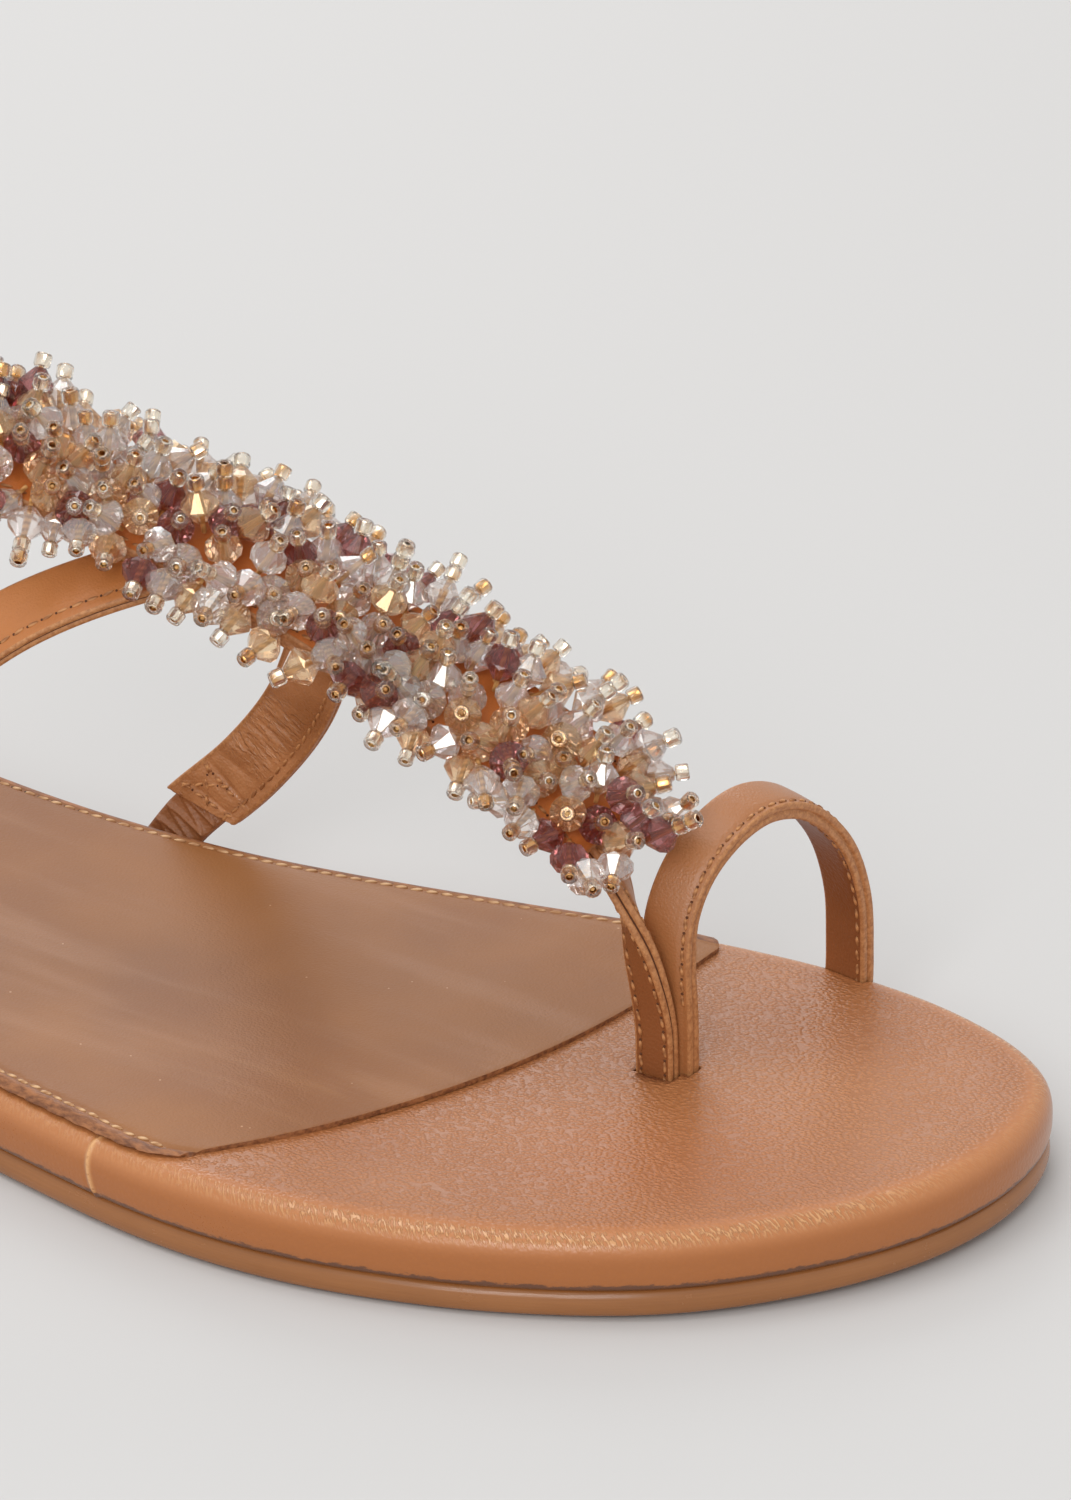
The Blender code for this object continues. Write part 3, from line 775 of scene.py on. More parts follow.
@dataclass(frozen=True)
class Thread:
    """Twisted sewing thread."""

    name: str
    light: Colour
    deep: Colour

    def make(self) -> bpy.types.Material:
        """Build the material.

        Returns:
            The finished material.
        """
        bench = Bench(self.name)
        at = bench.place()
        ply = bench.node(
            "ShaderNodeTexWave",
            {"bands_direction": "DIAGONAL"},
            {"Vector": at, "Scale": 1 / (2.2 * MM), "Distortion": 1.0},
            "Fac",
        )
        bench.feed("Base Color", bench.mix(ply, self.deep, self.light))
        bench.feed("Roughness", ply * -0.15 + 0.65)
        bench.bump(ply, 0.06)
        return bench.material


@dataclass(frozen=True)
class Glass:
    """Clear cut glass of one tint, with a bright film and a coat on its facets."""

    name: str
    light: Colour
    deep: Colour
    clear: float
    alpha: float = 0.84
    roughness: float = 0.02
    index: float = 1.48
    film: float = 75.0
    film_index: float = 1.95
    coat: float = 0.15
    coat_index: float = 1.6

    def make(self) -> bpy.types.Material:
        """Build the material.

        Returns:
            The finished material.
        """
        bench = Bench(
            self.name,
            Roughness=self.roughness,
            IOR=self.index,
            Transmission_Weight=self.clear,
            Alpha=self.alpha,
            Thin_Film_Thickness=self.film,
            Thin_Film_IOR=self.film_index,
            Coat_Weight=self.coat,
            Coat_IOR=self.coat_index,
            Coat_Roughness=0.02,
        )
        batch = bench.noise(bench.place(), 5.0, 1.0).within(0.35, 0.65)
        bench.feed("Base Color", bench.mix(batch, self.deep, self.light))
        return bench.material


@dataclass(frozen=True)
class Foil:
    """Bright metal lining of a seed bead, worn to gold in places."""

    name: str = "seed_foil"
    tint: Colour = colour(255, 250, 240)
    worn: Colour = colour(222, 172, 110)

    def make(self) -> bpy.types.Material:
        """Build the material.

        Returns:
            The finished material.
        """
        bench = Bench(self.name, Metallic=1.0)
        wear = bench.noise(bench.place(), 4.0, 1.0)
        bench.feed("Base Color", bench.mix(wear.within(0.45, 0.6), self.tint, self.worn))
        bench.feed("Roughness", wear * 0.15 + 0.05)
        return bench.material


class Finishes:
    """Every material of the sandal, made once."""

    def __init__(self) -> None:
        """Make the materials."""
        self.footbed = PebbledLeather().make()
        self.sock = SmoothLeather(
            "sock_leather", colour(160, 107, 62), colour(139, 88, 47), pore=0.35, relief=0.04,
            roughness=0.48, shine=0.32, streak=0.7, dust=0.7,
        ).make()
        self.strap = SmoothLeather(
            "strap_leather", colour(176, 116, 70), colour(154, 97, 55), pore=0.3, relief=0.05,
            roughness=0.36, shine=0.6,
        ).make()
        self.side_strap = SmoothLeather(
            "side_leather", colour(194, 124, 68), colour(170, 102, 50), pore=0.3, relief=0.05,
            roughness=0.38,
        ).make()
        self.lining = SmoothLeather(
            "strap_lining", colour(144, 86, 46), colour(122, 70, 36), pore=0.45, relief=0.07,
            roughness=0.42,
        ).make()
        # Painted light: a lighter, glossier copy of the lining leather for the medial strap, whose inner
        # face is lit by the near light.
        self.medial_lining = SmoothLeather(
            "medial_lining", colour(198, 138, 92), colour(162, 106, 64), pore=0.4, relief=0.1,
            roughness=0.3, shine=0.6, cloud=9.0, crinkle=1.5,
        ).make()
        self.raw_edge = RawEdge("raw_edge", colour(198, 140, 90), colour(160, 102, 58)).make()
        self.sole = SoleLeather().make()
        self.elastic = SmoothLeather(
            "elastic_cloth", colour(160, 102, 60), colour(108, 64, 36), pore=0.4, relief=0.12,
            roughness=0.42,
        ).make()
        self.bar = SmoothLeather(
            "bar_leather", colour(208, 122, 58), colour(180, 98, 42), pore=0.3, relief=0.05,
            roughness=0.35,
        ).make()
        self.sock_rim = RawEdge(
            "sock_rim", colour(168, 110, 68), colour(106, 62, 36), fibre=0.6, relief=0.14, lay=0.3,
        ).make()
        self.sock_thread = Thread("sock_thread", colour(224, 184, 138), colour(176, 128, 86)).make()
        self.thread = Thread("strap_thread", colour(200, 142, 90), colour(150, 96, 54)).make()
        # Painted shade: a dark material for the needle holes and for the groove faces in the straps' edges,
        # standing in for the shade inside them.
        self.hole_shade = SmoothLeather(
            "needle_hole", colour(96, 54, 28), colour(70, 38, 20), pore=0.3, relief=0.02,
            roughness=0.8,
        ).make()
        self.foil = Foil().make()
        self.bead_thread = Thread("bead_thread", colour(228, 178, 112), colour(176, 122, 66)).make()


def bell(offset: np.ndarray, width: float) -> np.ndarray:
    """Height of a bell curve at offsets from its middle."""
    return np.exp(-((offset / width) ** 2))


def linked(name: str, data: Any) -> bpy.types.Object:
    """Put a new object into the scene.

    Args:
        name: the object's name.
        data: its mesh, light or camera.

    Returns:
        The linked object.
    """
    thing = bpy.data.objects.new(name, data)
    bpy.context.scene.collection.objects.link(thing)
    return thing


def shape_object(
    name: str,
    points: np.ndarray,
    faces: Sequence[Sequence[int]],
    materials: Sequence[bpy.types.Material],
    slots: Sequence[int] | None = None,
    corners: np.ndarray | None = None,
) -> bpy.types.Object:
    """A smooth-shaded object with its faces turned outwards.

    Args:
        name: the object's name.
        points: corners in metres.
        faces: corner numbers of every face.
        materials: the object's materials.
        slots: material number of every face.
        corners: edge map coordinates for the corners of every face, in order.

    Returns:
        The linked object.
    """
    mesh = bpy.data.meshes.new(name)
    mesh.from_pydata([tuple(point) for point in points], [], [tuple(face) for face in faces])
    for material in materials:
        mesh.materials.append(material)
    if slots is not None:
        mesh.polygons.foreach_set("material_index", np.array(slots, np.int32))
    if corners is not None:
        layer = mesh.uv_layers.new(name=EDGE_MAP)
        layer.data.foreach_set("uv", np.asarray(corners, np.float32).ravel())
    shape = bmesh.new()
    shape.from_mesh(mesh)
    bmesh.ops.recalc_face_normals(shape, faces=shape.faces)
    shape.to_mesh(mesh)
    shape.free()
    mesh.shade_smooth()
    return linked(name, mesh)


def settled(thing: bpy.types.Object) -> bpy.types.Object:
    """The object with its modifiers worked into a plain mesh.

    Args:
        thing: an object with live modifiers.

    Returns:
        The same object with a plain mesh and no modifiers.
    """
    graph = bpy.context.evaluated_depsgraph_get()
    mesh = bpy.data.meshes.new_from_object(thing.evaluated_get(graph))
    old = thing.data
    thing.modifiers.clear()
    thing.data = mesh
    bpy.data.meshes.remove(old)
    mesh.name = thing.name
    return thing


def seat_piece(thing: bpy.types.Object, slot: str, *nodes: str) -> bpy.types.Object:
    """Set a finished piece on the sandal's one body.

    Args:
        thing: the finished piece.
        slot: not used.
        nodes: the solids that the piece stands for.

    Returns:
        The piece.
    """
    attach(thing, BODY)
    if nodes:
        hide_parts(*nodes)
    log.info("%s: %d faces", thing.name, len(thing.data.polygons))
    return thing


@dataclass
class SoleLayer:
    """A layer of the sole: edge rings round the plan, closed below and above by sheets."""

    name: str
    edge: Sequence[EdgeRow]
    floor: Callable[[np.ndarray], np.ndarray]
    roof: Callable[[np.ndarray], np.ndarray]
    cupped: bool
    around: int = 900
    rings: int = 20
    columns: int = 28
    seam_station: float | None = None
    seam_width: float = 0.32
    seam_height: float = 0.18
    seam_bow: float = 1.3
    seam_lift: float = 12.0
    seam_lip: float = 0.4
    seam_reach: float = 2.6
    seam_steps: int = 40
    breast_steps: Sequence[float] = (-0.2, 0.0, 0.5, 1.0, 1.5, 1.7)
    off_edge: Span = (0.0, -0.01)

    @cached_property
    def half_loop(self) -> np.ndarray:
        """Angles from heel tip to toe tip, close together at the heel's breast and at the seam."""
        angles = list(np.linspace(0.0, math.pi, self.around // 2 + 1))
        close = [LAST.heel_breast + step for step in self.breast_steps]
        if self.seam_station is not None:
            ends = self.seam_station - self.seam_reach, self.seam_station + self.seam_reach
            close += list(np.linspace(*ends, self.seam_steps))
        return np.array(sorted(angles + [float(LAST.angle(station)) for station in close]))

    def levels(self) -> np.ndarray:
        """Spread the edge's rings over its rows.

        Returns:
            Inset and share of every ring, from the underside to the top.
        """
        marks = np.linspace(0, len(self.edge) - 1, self.rings)
        curves = [Curve(list(enumerate(column)), limited=True) for column in zip(*self.edge)]
        return np.stack([curve(marks) for curve in curves], -1)

    def build(self, material: bpy.types.Material) -> bpy.types.Object:
        """Build the layer's mesh.

        Args:
            material: the layer's material.

        Returns:
            The layer's object.
        """
        angles = np.concatenate([self.half_loop, 2 * math.pi - self.half_loop[-2:0:-1]])
        count, half = len(angles), len(self.half_loop) - 1
        plan = np.stack(LAST.rim(angles, 0.0), -1)
        run = np.linalg.norm(np.roll(plan, -1, 0) - plan, axis=1)
        along = np.concatenate([[0.0], np.cumsum(run)]) * MM
        rings = []
        for inset, share in self.levels():
            station, across = LAST.rim(angles, inset)
            low, high = self.floor(station), self.roof(station)
            rings.append(LAST.place(station, across, low + share * (high - low)))
        rings = np.stack(rings)
        fall = np.linalg.norm(np.diff(rings, axis=0), axis=-1).mean(axis=1)
        down = np.concatenate([[0.0], np.cumsum(fall)])
        down = down[-1] - down
        seam = self.seam_line(rings, plan, down, half) if self.seam_station is not None else None

        points = [rings.reshape(-1, 3)]
        faces, corners = [], []
        for i in range(self.rings - 1):
            for k in range(count):
                n = (k + 1) % count
                faces.append((i * count + k, i * count + n, (i + 1) * count + n, (i + 1) * count + k))
                corners += [
                    (along[k], down[i]),
                    (along[k + 1], down[i]),
                    (along[k + 1], down[i + 1]),
                    (along[k], down[i + 1]),
                ]
        start = self.rings * count
        for level, dip, columns in ((0, False, 2), (self.rings - 1, self.cupped, self.columns)):
            ring = rings[level]
            lateral, medial = ring[1:half], ring[count - 1:half:-1]
            share = np.arange(1, columns)[None, :, None] / columns
            inner = lateral[:, None] * (1 - share) + medial[:, None] * share
            station = LAST.length / 2 - inner[..., 1] / MM
            surface = self.roof if level else self.floor
            bowl = 1 - (2 * share[..., 0] - 1) ** 2
            inner[..., 2] = (surface(station) - (LAST.cup(station) * bowl if dip else 0.0)) * MM
            points.append(inner.reshape(-1, 3))
            numbers = start + np.arange(inner.shape[0] * inner.shape[1]).reshape(inner.shape[:2])
            start += numbers.size
            first, last = level * count, level * count + count
            rows = [[first + k + 1, *numbers[k], last - 1 - k] for k in range(half - 1)]
            sheet = self.sheet(first, rows, first + half)
            faces += sheet
            corners += [self.off_edge] * sum(len(face) for face in sheet)
        edge_map = np.array(corners)
        thing = shape_object(self.name, np.concatenate(points), faces, [material], corners=edge_map)
        if seam is not None:
            layer = thing.data.attributes.new(SEAM, "FLOAT", "POINT")
            values = np.zeros(len(thing.data.vertices), np.float32)
            values[: seam.size] = seam.ravel()
            layer.data.foreach_set("value", values)
        return thing

    def seam_line(self, rings: np.ndarray, plan: np.ndarray, down: np.ndarray, half: int) -> np.ndarray:
        """Raise the wrapping's seam on the lateral edge, and say where it lies.

        Args:
            rings: the edge's points, changed in place.
            plan: stations and offsets of the plan's edge.
            down: distance of every ring from the top.
            half: number of the toe tip's point.

        Returns:
            How much each edge point lies on the seam, from 0 to 1.
        """
        share = down / down.max()
        bow = self.seam_bow * (1 - (2 * share - 1) ** 2)
        offset = plan[None, :, 0] - (self.seam_station - bow[:, None])
        on = bell(offset, self.seam_width)
        on[:, half:] = 0.0
        lip = bell(offset + 2 * self.seam_width, self.seam_width)
        lip[:, half:] = 0.0
        out = rings * (1.0, 0.0, 1.0)
        out[..., 2] -= rings[..., 2].mean(axis=0)
        out[..., 2] *= self.seam_lift
        out /= np.linalg.norm(out, axis=-1, keepdims=True)
        rings += out * ((on - self.seam_lip * lip) * self.seam_height * MM)[..., None]
        return on

    @staticmethod
    def sheet(first: int, rows: list[list[int]], last: int) -> list[tuple[int, ...]]:
        """Cover rows of corners with faces.

        Args:
            first: the single corner before the rows.
            rows: corner numbers, row by row.
            last: the single corner after the rows.

        Returns:
            Corner numbers of every face.
        """
        faces = [(first, a, b) for a, b in zip(rows[0], rows[0][1:])]
        for near, far in zip(rows, rows[1:]):
            faces += [(near[j], near[j + 1], far[j + 1], far[j]) for j in range(len(near) - 1)]
        return faces + [(last, a, b) for a, b in zip(rows[-1], rows[-1][1:])]


@dataclass
class Sock:
    """The thin sheet on the footbed: smooth top, rolled rim and cut front edge."""

    inset: float = 1.8
    front: float = 196.0
    sweep: float = 24.0
    power: float = 2.4
    front_medial: float = 38.0
    front_lateral: float = -40.0
    corner_start: float = 166.0
    corner_end: float = 180.0
    corner_inset: float = 8.5
    corner_power: float = 3.2
    toe_corner: float = 32.6
    toe_corner_round: float = 2.6
    toe_corner_reach: float = 3.4
    toe_corner_limit: float = 1.2
    toe_corner_power: float = 2.4
    ragged: float = 0.09
    ragged_waves: Sequence[tuple[float, float, float]] = ((1.0, 1.9, 0.0), (0.7, 4.3, 1.0))
    roll_drop: float = 0.6
    roll: float = 1.2
    skive_drop: float = 0.6
    skive: float = 14.0
    skive_power: float = 1.2
    rows: int = 360
    columns: int = 110
    first_row: float = 0.004
    crowded: float = 0.85
    spaced: float = 0.075
    pull_power: int = 6
    wave: float = 0.16
    wave_lengths: Span = (17.0, 29.0)
    wave_fade: float = 9.0
    rim_lift: float = 0.14
    rim_inside: float = 0.75
    rim_width: float = 0.45
    bevel: float = 0.14
    bevel_segments: int = 3
    bevel_angle: float = math.radians(55)
    thread_sink: float = 0.16
    thread_inside: float = 1.65
    thread_groove: float = 0.3
    thread_lift: float = 0.06
    thread_ends: Span = (0.03, 0.985)
    thread_points: int = 700
    side_length: float = 250.0
    bed_fall: float = 0.42
    bed_fall_reach: float = 4.2

    def front_station(self, across: np.ndarray) -> np.ndarray:
        """Station of the cut front edge, which is rounded at the big toe.

        Args:
            across: distances from the centre line.

        Returns:
            Stations in millimetres.
        """
        share = (self.front_medial - across) / (self.front_medial - self.front_lateral)
        past = np.clip((across - self.toe_corner) / self.toe_corner_reach, 0.0, self.toe_corner_limit)
        rounded = self.toe_corner_round * past ** self.toe_corner_power
        return self.front - self.sweep * np.clip(share, 0.0, None) ** self.power - rounded

    def edge(self, angle: np.ndarray, medial: bool, inside: float) -> np.ndarray:
        """Stations and offsets of a side edge, which turns in to a round corner on the lateral side.

        Args:
            angle: angles from the heel tip.
            medial: which side.
            inside: distance inside the rim.

        Returns:
            Points of two columns.
        """
        if medial:
            return np.stack(LAST.rim(2 * math.pi - angle, self.inset + inside), -1)
        station = LAST.length / 2 * (1 - np.cos(angle))
        turn = np.clip((station - self.corner_start) / (self.corner_end - self.corner_start), 0, None)
        worn = sum(size * np.sin(station * rate + start) for size, rate, start in self.ragged_waves)
        inset = self.inset + inside + self.ragged * worn + self.corner_inset * turn ** self.corner_power
        return np.stack(LAST.rim(angle, inset), -1)

    def end_angle(self, medial: bool) -> float:
        """Find where a side edge meets the front edge.

        Args:
            medial: which side.

        Returns:
            The angle from the heel tip.
        """
        angles = np.linspace(0.5, math.pi, 4000)
        station, across = self.edge(angles, medial, 0.0).T
        return float(angles[np.argmax(station > self.front_station(across))])

    def thin(self, flat: np.ndarray, inside: np.ndarray) -> np.ndarray:
        """How far the rolled sides and the skived front edge lie under the sock's full thickness.

        Args:
            flat: stations and offsets, in the last column.
            inside: distance from the nearer side edge.

        Returns:
            Depths in millimetres.
        """
        behind = self.front_station(flat[..., 1]) - flat[..., 0]
        rolled = self.roll_drop * np.clip(1 - inside / self.roll, 0, 1) ** 2
        skived = self.skive_drop * np.clip(1 - behind / self.skive, 0, 1) ** self.skive_power
        return np.maximum(rolled, skived)

    def height(self, flat: np.ndarray, share: np.ndarray, width: np.ndarray) -> np.ndarray:
        """Height of the sock's top.

        Args:
            flat: stations and offsets, in the last column.
            share: share of the way across.
            width: the sock's width there.

        Returns:
            Heights in millimetres.
        """
        station = flat[..., 0]
        bowl = LAST.cup(station) * (1 - (2 * share - 1) ** 2)
        inside = np.minimum(share, 1 - share) * width
        short, long = self.wave_lengths
        wave = np.sin(station / short + 3 * share) * np.sin(station / long - 5 * share + 1.0)
        rim = self.rim_lift * bell(inside - self.rim_inside, self.rim_width)
        sewn = self.thread_sink * bell(inside - self.thread_inside, self.thread_groove)
        fall = self.bed_fall * np.clip(1 - inside / self.bed_fall_reach, 0, 1) ** 2
        top = LAST.sock_roof(station) - bowl - fall - self.thin(flat, inside)
        return top + self.wave * wave * np.clip(inside / self.wave_fade, 0, 1) + rim - sewn

    def grid(self) -> tuple[np.ndarray, np.ndarray, np.ndarray]:
        """Lay out the top from heel to front, and from the lateral to the medial side.

        Returns:
            Points in metres, shares of the full thickness, and distances inside the rim.
        """
        along = np.linspace(self.first_row, 1, self.rows)
        lateral = self.edge(along * self.end_angle(False), False, 0.0)[:, None]
        medial = self.edge(along * self.end_angle(True), True, 0.0)[:, None]
        even = np.linspace(-1, 1, self.columns)
        share = 0.5 + 0.5 * np.sin(even * math.pi / 2) * self.crowded + even * self.spaced
        share = share[None, :, None]
        flat = lateral * (1 - share) + medial * share
        pull = self.front_station(flat[-1, :, 1]) - flat[-1, :, 0]
        flat[..., 0] += pull[None] * (along[:, None] ** self.pull_power)
        width = (medial - lateral)[..., 1]
        inside = np.minimum(share, 1 - share)[..., 0] * width
        points = LAST.place(flat[..., 0], flat[..., 1], self.height(flat, share[..., 0], width))
        return points, 1 - self.thin(flat, inside) / LAST.sock, inside

    def build(self, material: bpy.types.Material, rim: bpy.types.Material) -> bpy.types.Object:
        """Build the sock's mesh.

        Args:
            material: the sock's leather.
            rim: its cut edge.

        Returns:
            The sock's object.
        """
        grid, thickness, inside = self.grid()
        rows, columns = grid.shape[:2]
        number = np.arange(rows * columns).reshape(rows, columns)
        faces, slots = [], []
        for i in range(rows - 1):
            for j in range(columns - 1):
                faces.append((number[i, j], number[i, j + 1], number[i + 1, j + 1], number[i + 1, j]))
                slots.append(int(inside[i, j:j + 2].mean() < self.roll))
        faces.append(tuple(number[0, ::-1]))
        slots.append(0)
        thing = shape_object("sock_leather_sheet", grid.reshape(-1, 3), faces, [material, rim], slots)
        if sum(face.normal.z * face.area for face in thing.data.polygons) < 0:
            thing.data.flip_normals()
        group = thing.vertex_groups.new(name="wall")
        for corner, weight in enumerate(thickness.ravel()):
            group.add([corner], float(weight), "REPLACE")
        wall = thing.modifiers.new("wall", "SOLIDIFY")
        wall.thickness = LAST.sock * MM
        wall.offset = -1
        wall.vertex_group = group.name
        wall.material_offset_rim = 1
        wall.use_even_offset = False
        soft = thing.modifiers.new("rolled_rim", "BEVEL")
        soft.width = self.bevel * MM
        soft.segments = self.bevel_segments
        soft.limit_method = "ANGLE"
        soft.angle_limit = self.bevel_angle
        soft.material = 1
        return settled(thing)

    def stitch_line(self, medial: bool, phase: float) -> Line:
        """Points and upward directions of the stitches along one side.

        Args:
            medial: which side.
            phase: distance by which the row starts later.

        Returns:
            Points in metres and unit vectors.
        """
        inside = self.thread_inside
        start, end = self.thread_ends
        share = np.linspace(start + phase / self.side_length, end, self.thread_points)
        near = self.edge(share * self.end_angle(medial), medial, inside)
        far = self.edge(share * self.end_angle(not medial), not medial, inside)
        width = np.abs(far[:, 1] - near[:, 1]) + 2 * inside
        height = self.height(near, inside / width, width)
        up = np.tile((0.0, 0.0, 1.0), (len(share), 1))
        return LAST.place(near[:, 0], near[:, 1], height + self.thread_lift), up


class StrapSide(Enum):
    """Faces of a strap; the groove faces get a dark material of painted shade."""

    OUTER = 0
    EDGE = 1
    LINING = 2
    # dark faces of painted shade in the groove between the edge's two layers
    GROOVE = 3


@dataclass
class Strap:
    """A flat two-layer strap swept along a path, with raw edges and stitch channels."""

    name: str
    path: Sequence[Bend]
    width: float
    thickness: float
    steps: int = 160
    round_tail: bool = False
    corner: float = 0.32
    crown: float = 0.1
    groove: float = 0.3
    groove_width: float = 0.17
    channels: Sequence[float] = ()
    channel_depth: float = 0.12
    round_over: float = 0.0
    outer_creases: Sequence[Crease] = ()
    lining_creases: Sequence[Crease] = ()
    blunt_tail: float = 0.125
    end_slant: float = 0.0
    end_reach: float = 9.0
    channel_width: float = 0.3
    round_reach: float = 1.3
    thread_depth: float = 0.6
    groove_share: float = 0.6
    edge_levels: int = 13
    face_points: int = 17
    fine_steps: int = 24
    nudge: float = 0.02

    @cached_property
    def frames(self) -> dict[str, np.ndarray]:
        """Centre, direction, outer face, edge direction and length at even steps along the path."""
        marks = np.arange(len(self.path))
        columns = [Curve(list(zip(marks, column))) for column in zip(*self.path)]
        fine = np.linspace(0, len(self.path) - 1, self.fine_steps * len(self.path))
        points = np.stack([curve(fine) for curve in columns[:3]], -1)
        length = np.concatenate([[0.0], np.cumsum(np.linalg.norm(np.diff(points, axis=0), axis=1))])
        goal = np.linspace(0, length[-1], self.steps + 1)
        mark = np.interp(goal, length, fine)
        place, look = slice(0, 3), slice(3, 6)

        def at(spots: np.ndarray, chosen: slice) -> np.ndarray:
            return np.stack([curve(spots) for curve in columns[chosen]], -1)

        def turned(vector: np.ndarray) -> np.ndarray:
            return np.stack([vector[:, 1], -vector[:, 0], vector[:, 2]], -1)

        def unit(vector: np.ndarray) -> np.ndarray:
            return vector / np.linalg.norm(vector, axis=1, keepdims=True)

        before, after = np.maximum(mark - self.nudge, 0), np.minimum(mark + self.nudge, fine[-1])
        along = unit(turned(at(after, place) - at(before, place)))
        face = turned(at(mark, look))
        face = unit(face - along * np.sum(face * along, axis=1, keepdims=True))
        return {
            "centre": LAST.from_slot(*at(mark, place).T),
            "along": along,
            "face": face,
            "side": np.cross(along, face),
            "length": goal,
        }

    def read(self, key: str, along: Any) -> np.ndarray:
        """One of the frames' rows of vectors, at distances along the strap."""
        length = self.frames["length"]
        return np.stack([np.interp(along, length, column) for column in self.frames[key].T], -1)

    def half_width(self) -> np.ndarray:
        """Work out half the strap's width, which shrinks at a rounded tail.

        Returns:
            Half widths at every step, in millimetres.
        """
        left = (self.frames["length"][-1] - self.frames["length"]) / (self.width / 2)
        round_end = np.sqrt(np.clip(1 - (1 - np.clip(left, 0, 1)) ** 2, 0, None))
        wide = np.where(self.round_tail, np.maximum(round_end, 2 * self.blunt_tail), 1.0)
        return self.width / 2 * wide

    def edge_side(self, way: float) -> list[tuple[float, float, float, StrapSide]]:
        """Points down one edge of the strap: two rounded layers with a groove between them.

        Args:
            way: 1 for the edge on the side's direction and -1 for the other.

        Returns:
            Share of the half width, offset from the edge, height and face, from the outer face down.
        """
        half, soft = self.thickness / 2, self.corner

        def rounding(degrees: float) -> tuple[float, float]:
            turn = math.radians(degrees)
            return way * soft * (math.sin(turn) - 1), soft * (1 - math.cos(turn))

        points = []
        for degrees in (30, 60):
            offset, fall = rounding(degrees)
            points.append((way, offset, half - fall, StrapSide.EDGE))
        for level in np.linspace(half - soft, soft - half, self.edge_levels):
            cut = self.groove * math.exp(-((level / self.groove_width) ** 2))
            # the middle of the edge is the groove, dressed in dark painted shade
            inside = abs(level) < self.groove_width * self.groove_share
            points.append((way, -way * cut, level, StrapSide.GROOVE if inside else StrapSide.EDGE))
        for degrees in (60, 30):
            offset, fall = rounding(degrees)
            points.append((way, offset, fall - half, StrapSide.EDGE))
        return points

    def section(self) -> list[tuple[float, float, float, StrapSide]]:
        """Lay out the points round the strap.

        Returns:
            Share of the half width, offset from the edge, height and face of every point.
        """
        half = self.thickness / 2
        across = np.linspace(-1, 1, self.face_points)
        outer = [(s, -self.corner * s, half + self.crown * (1 - s ** 2), StrapSide.OUTER) for s in across]
        lining = [(s, -self.corner * s, -half, StrapSide.LINING) for s in across[::-1]]
        return outer + self.edge_side(1.0) + lining + self.edge_side(-1.0)[::-1]

    def sink(self, creases: Sequence[Crease], across: np.ndarray) -> np.ndarray:
        """How far creases and stitch channels press a face in.

        Args:
            creases: the face's creases.
            across: distance from the middle of the strap at every step.

        Returns:
            Depths in millimetres.
        """
        depth = np.zeros_like(across)
        for crease in creases:
            offset = self.frames["length"] - crease.along - crease.slant * across
            fade = ((across - crease.middle) / crease.reach) ** 2
            depth += crease.depth * np.exp(-((offset / crease.width) ** 2) - fade)
        return depth + self.trough(across)

    def trough(self, across: np.ndarray) -> np.ndarray:
        """How far the stitch channels and the rounding towards the edges press a face in.

        Args:
            across: distances from the middle of the strap.

        Returns:
            Depths in millimetres.
        """
        past = (np.abs(across) + self.round_reach - self.width / 2) / self.round_reach
        depth = self.round_over * np.clip(past, 0, None) ** 2
        for channel in self.channels:
            depth = depth + self.channel_depth * bell(across - channel, self.channel_width)
        return depth

    def slanted(self, length: np.ndarray, across: np.ndarray) -> np.ndarray:
        """How far a slanted end carries points on along the strap, in millimetres."""
        near_end = np.clip(1 - (self.frames["length"][-1] - length) / self.end_reach, 0, 1)
        return -self.end_slant * across * near_end ** 2

    def build(self, *materials: bpy.types.Material) -> bpy.types.Object:
        """Build the strap's mesh.

        Args:
            materials: outer face, raw edge, inner face, and the dark painted shade of the groove in the
                edge.

        Returns:
            The strap's object.
        """
        section = self.section()
        wide = self.half_width()
        centre, face, side, along = (self.frames[key] for key in ("centre", "face", "side", "along"))
        rings = []
        for share, offset, height, kind in section:
            across = wide * share + offset
            level = np.full_like(wide, height)
            if kind is StrapSide.OUTER:
                level = level - self.sink(self.outer_creases, across)
            if kind is StrapSide.LINING:
                level = level + self.sink(self.lining_creases, across)
            on = self.slanted(self.frames["length"], across)
            shift = side * across[:, None] + face * level[:, None] + along * on[:, None]
            rings.append(centre + shift * MM)
        points = np.stack(rings, 1)
        count, size = points.shape[:2]
        middle = points[count // 2]
        around = np.linalg.norm(np.roll(middle, -1, 0) - middle, axis=1)
        around = np.concatenate([[0.0], np.cumsum(around)])
        length = self.frames["length"] * MM
        faces, slots, corners = [], [], []
        for k in range(count - 1):
            for j in range(size):
                n = (j + 1) % size
                faces.append((k * size + j, k * size + n, (k + 1) * size + n, (k + 1) * size + j))
                low, high = around[j], around[j + 1]
                near, far = length[k], length[k + 1]
                corners += [(near, low), (near, high), (far, high), (far, low)]
                same = section[j][3] is section[n][3]
                slots.append((section[j][3] if same else StrapSide.EDGE).value)
        for k in (0, count - 1):
            faces.append(tuple(k * size + j for j in range(size)))
            slots.append(StrapSide.EDGE.value)
            corners += [(length[k], 0.0)] * size
        return shape_object(self.name, points.reshape(-1, 3), faces, materials, slots, np.array(corners))

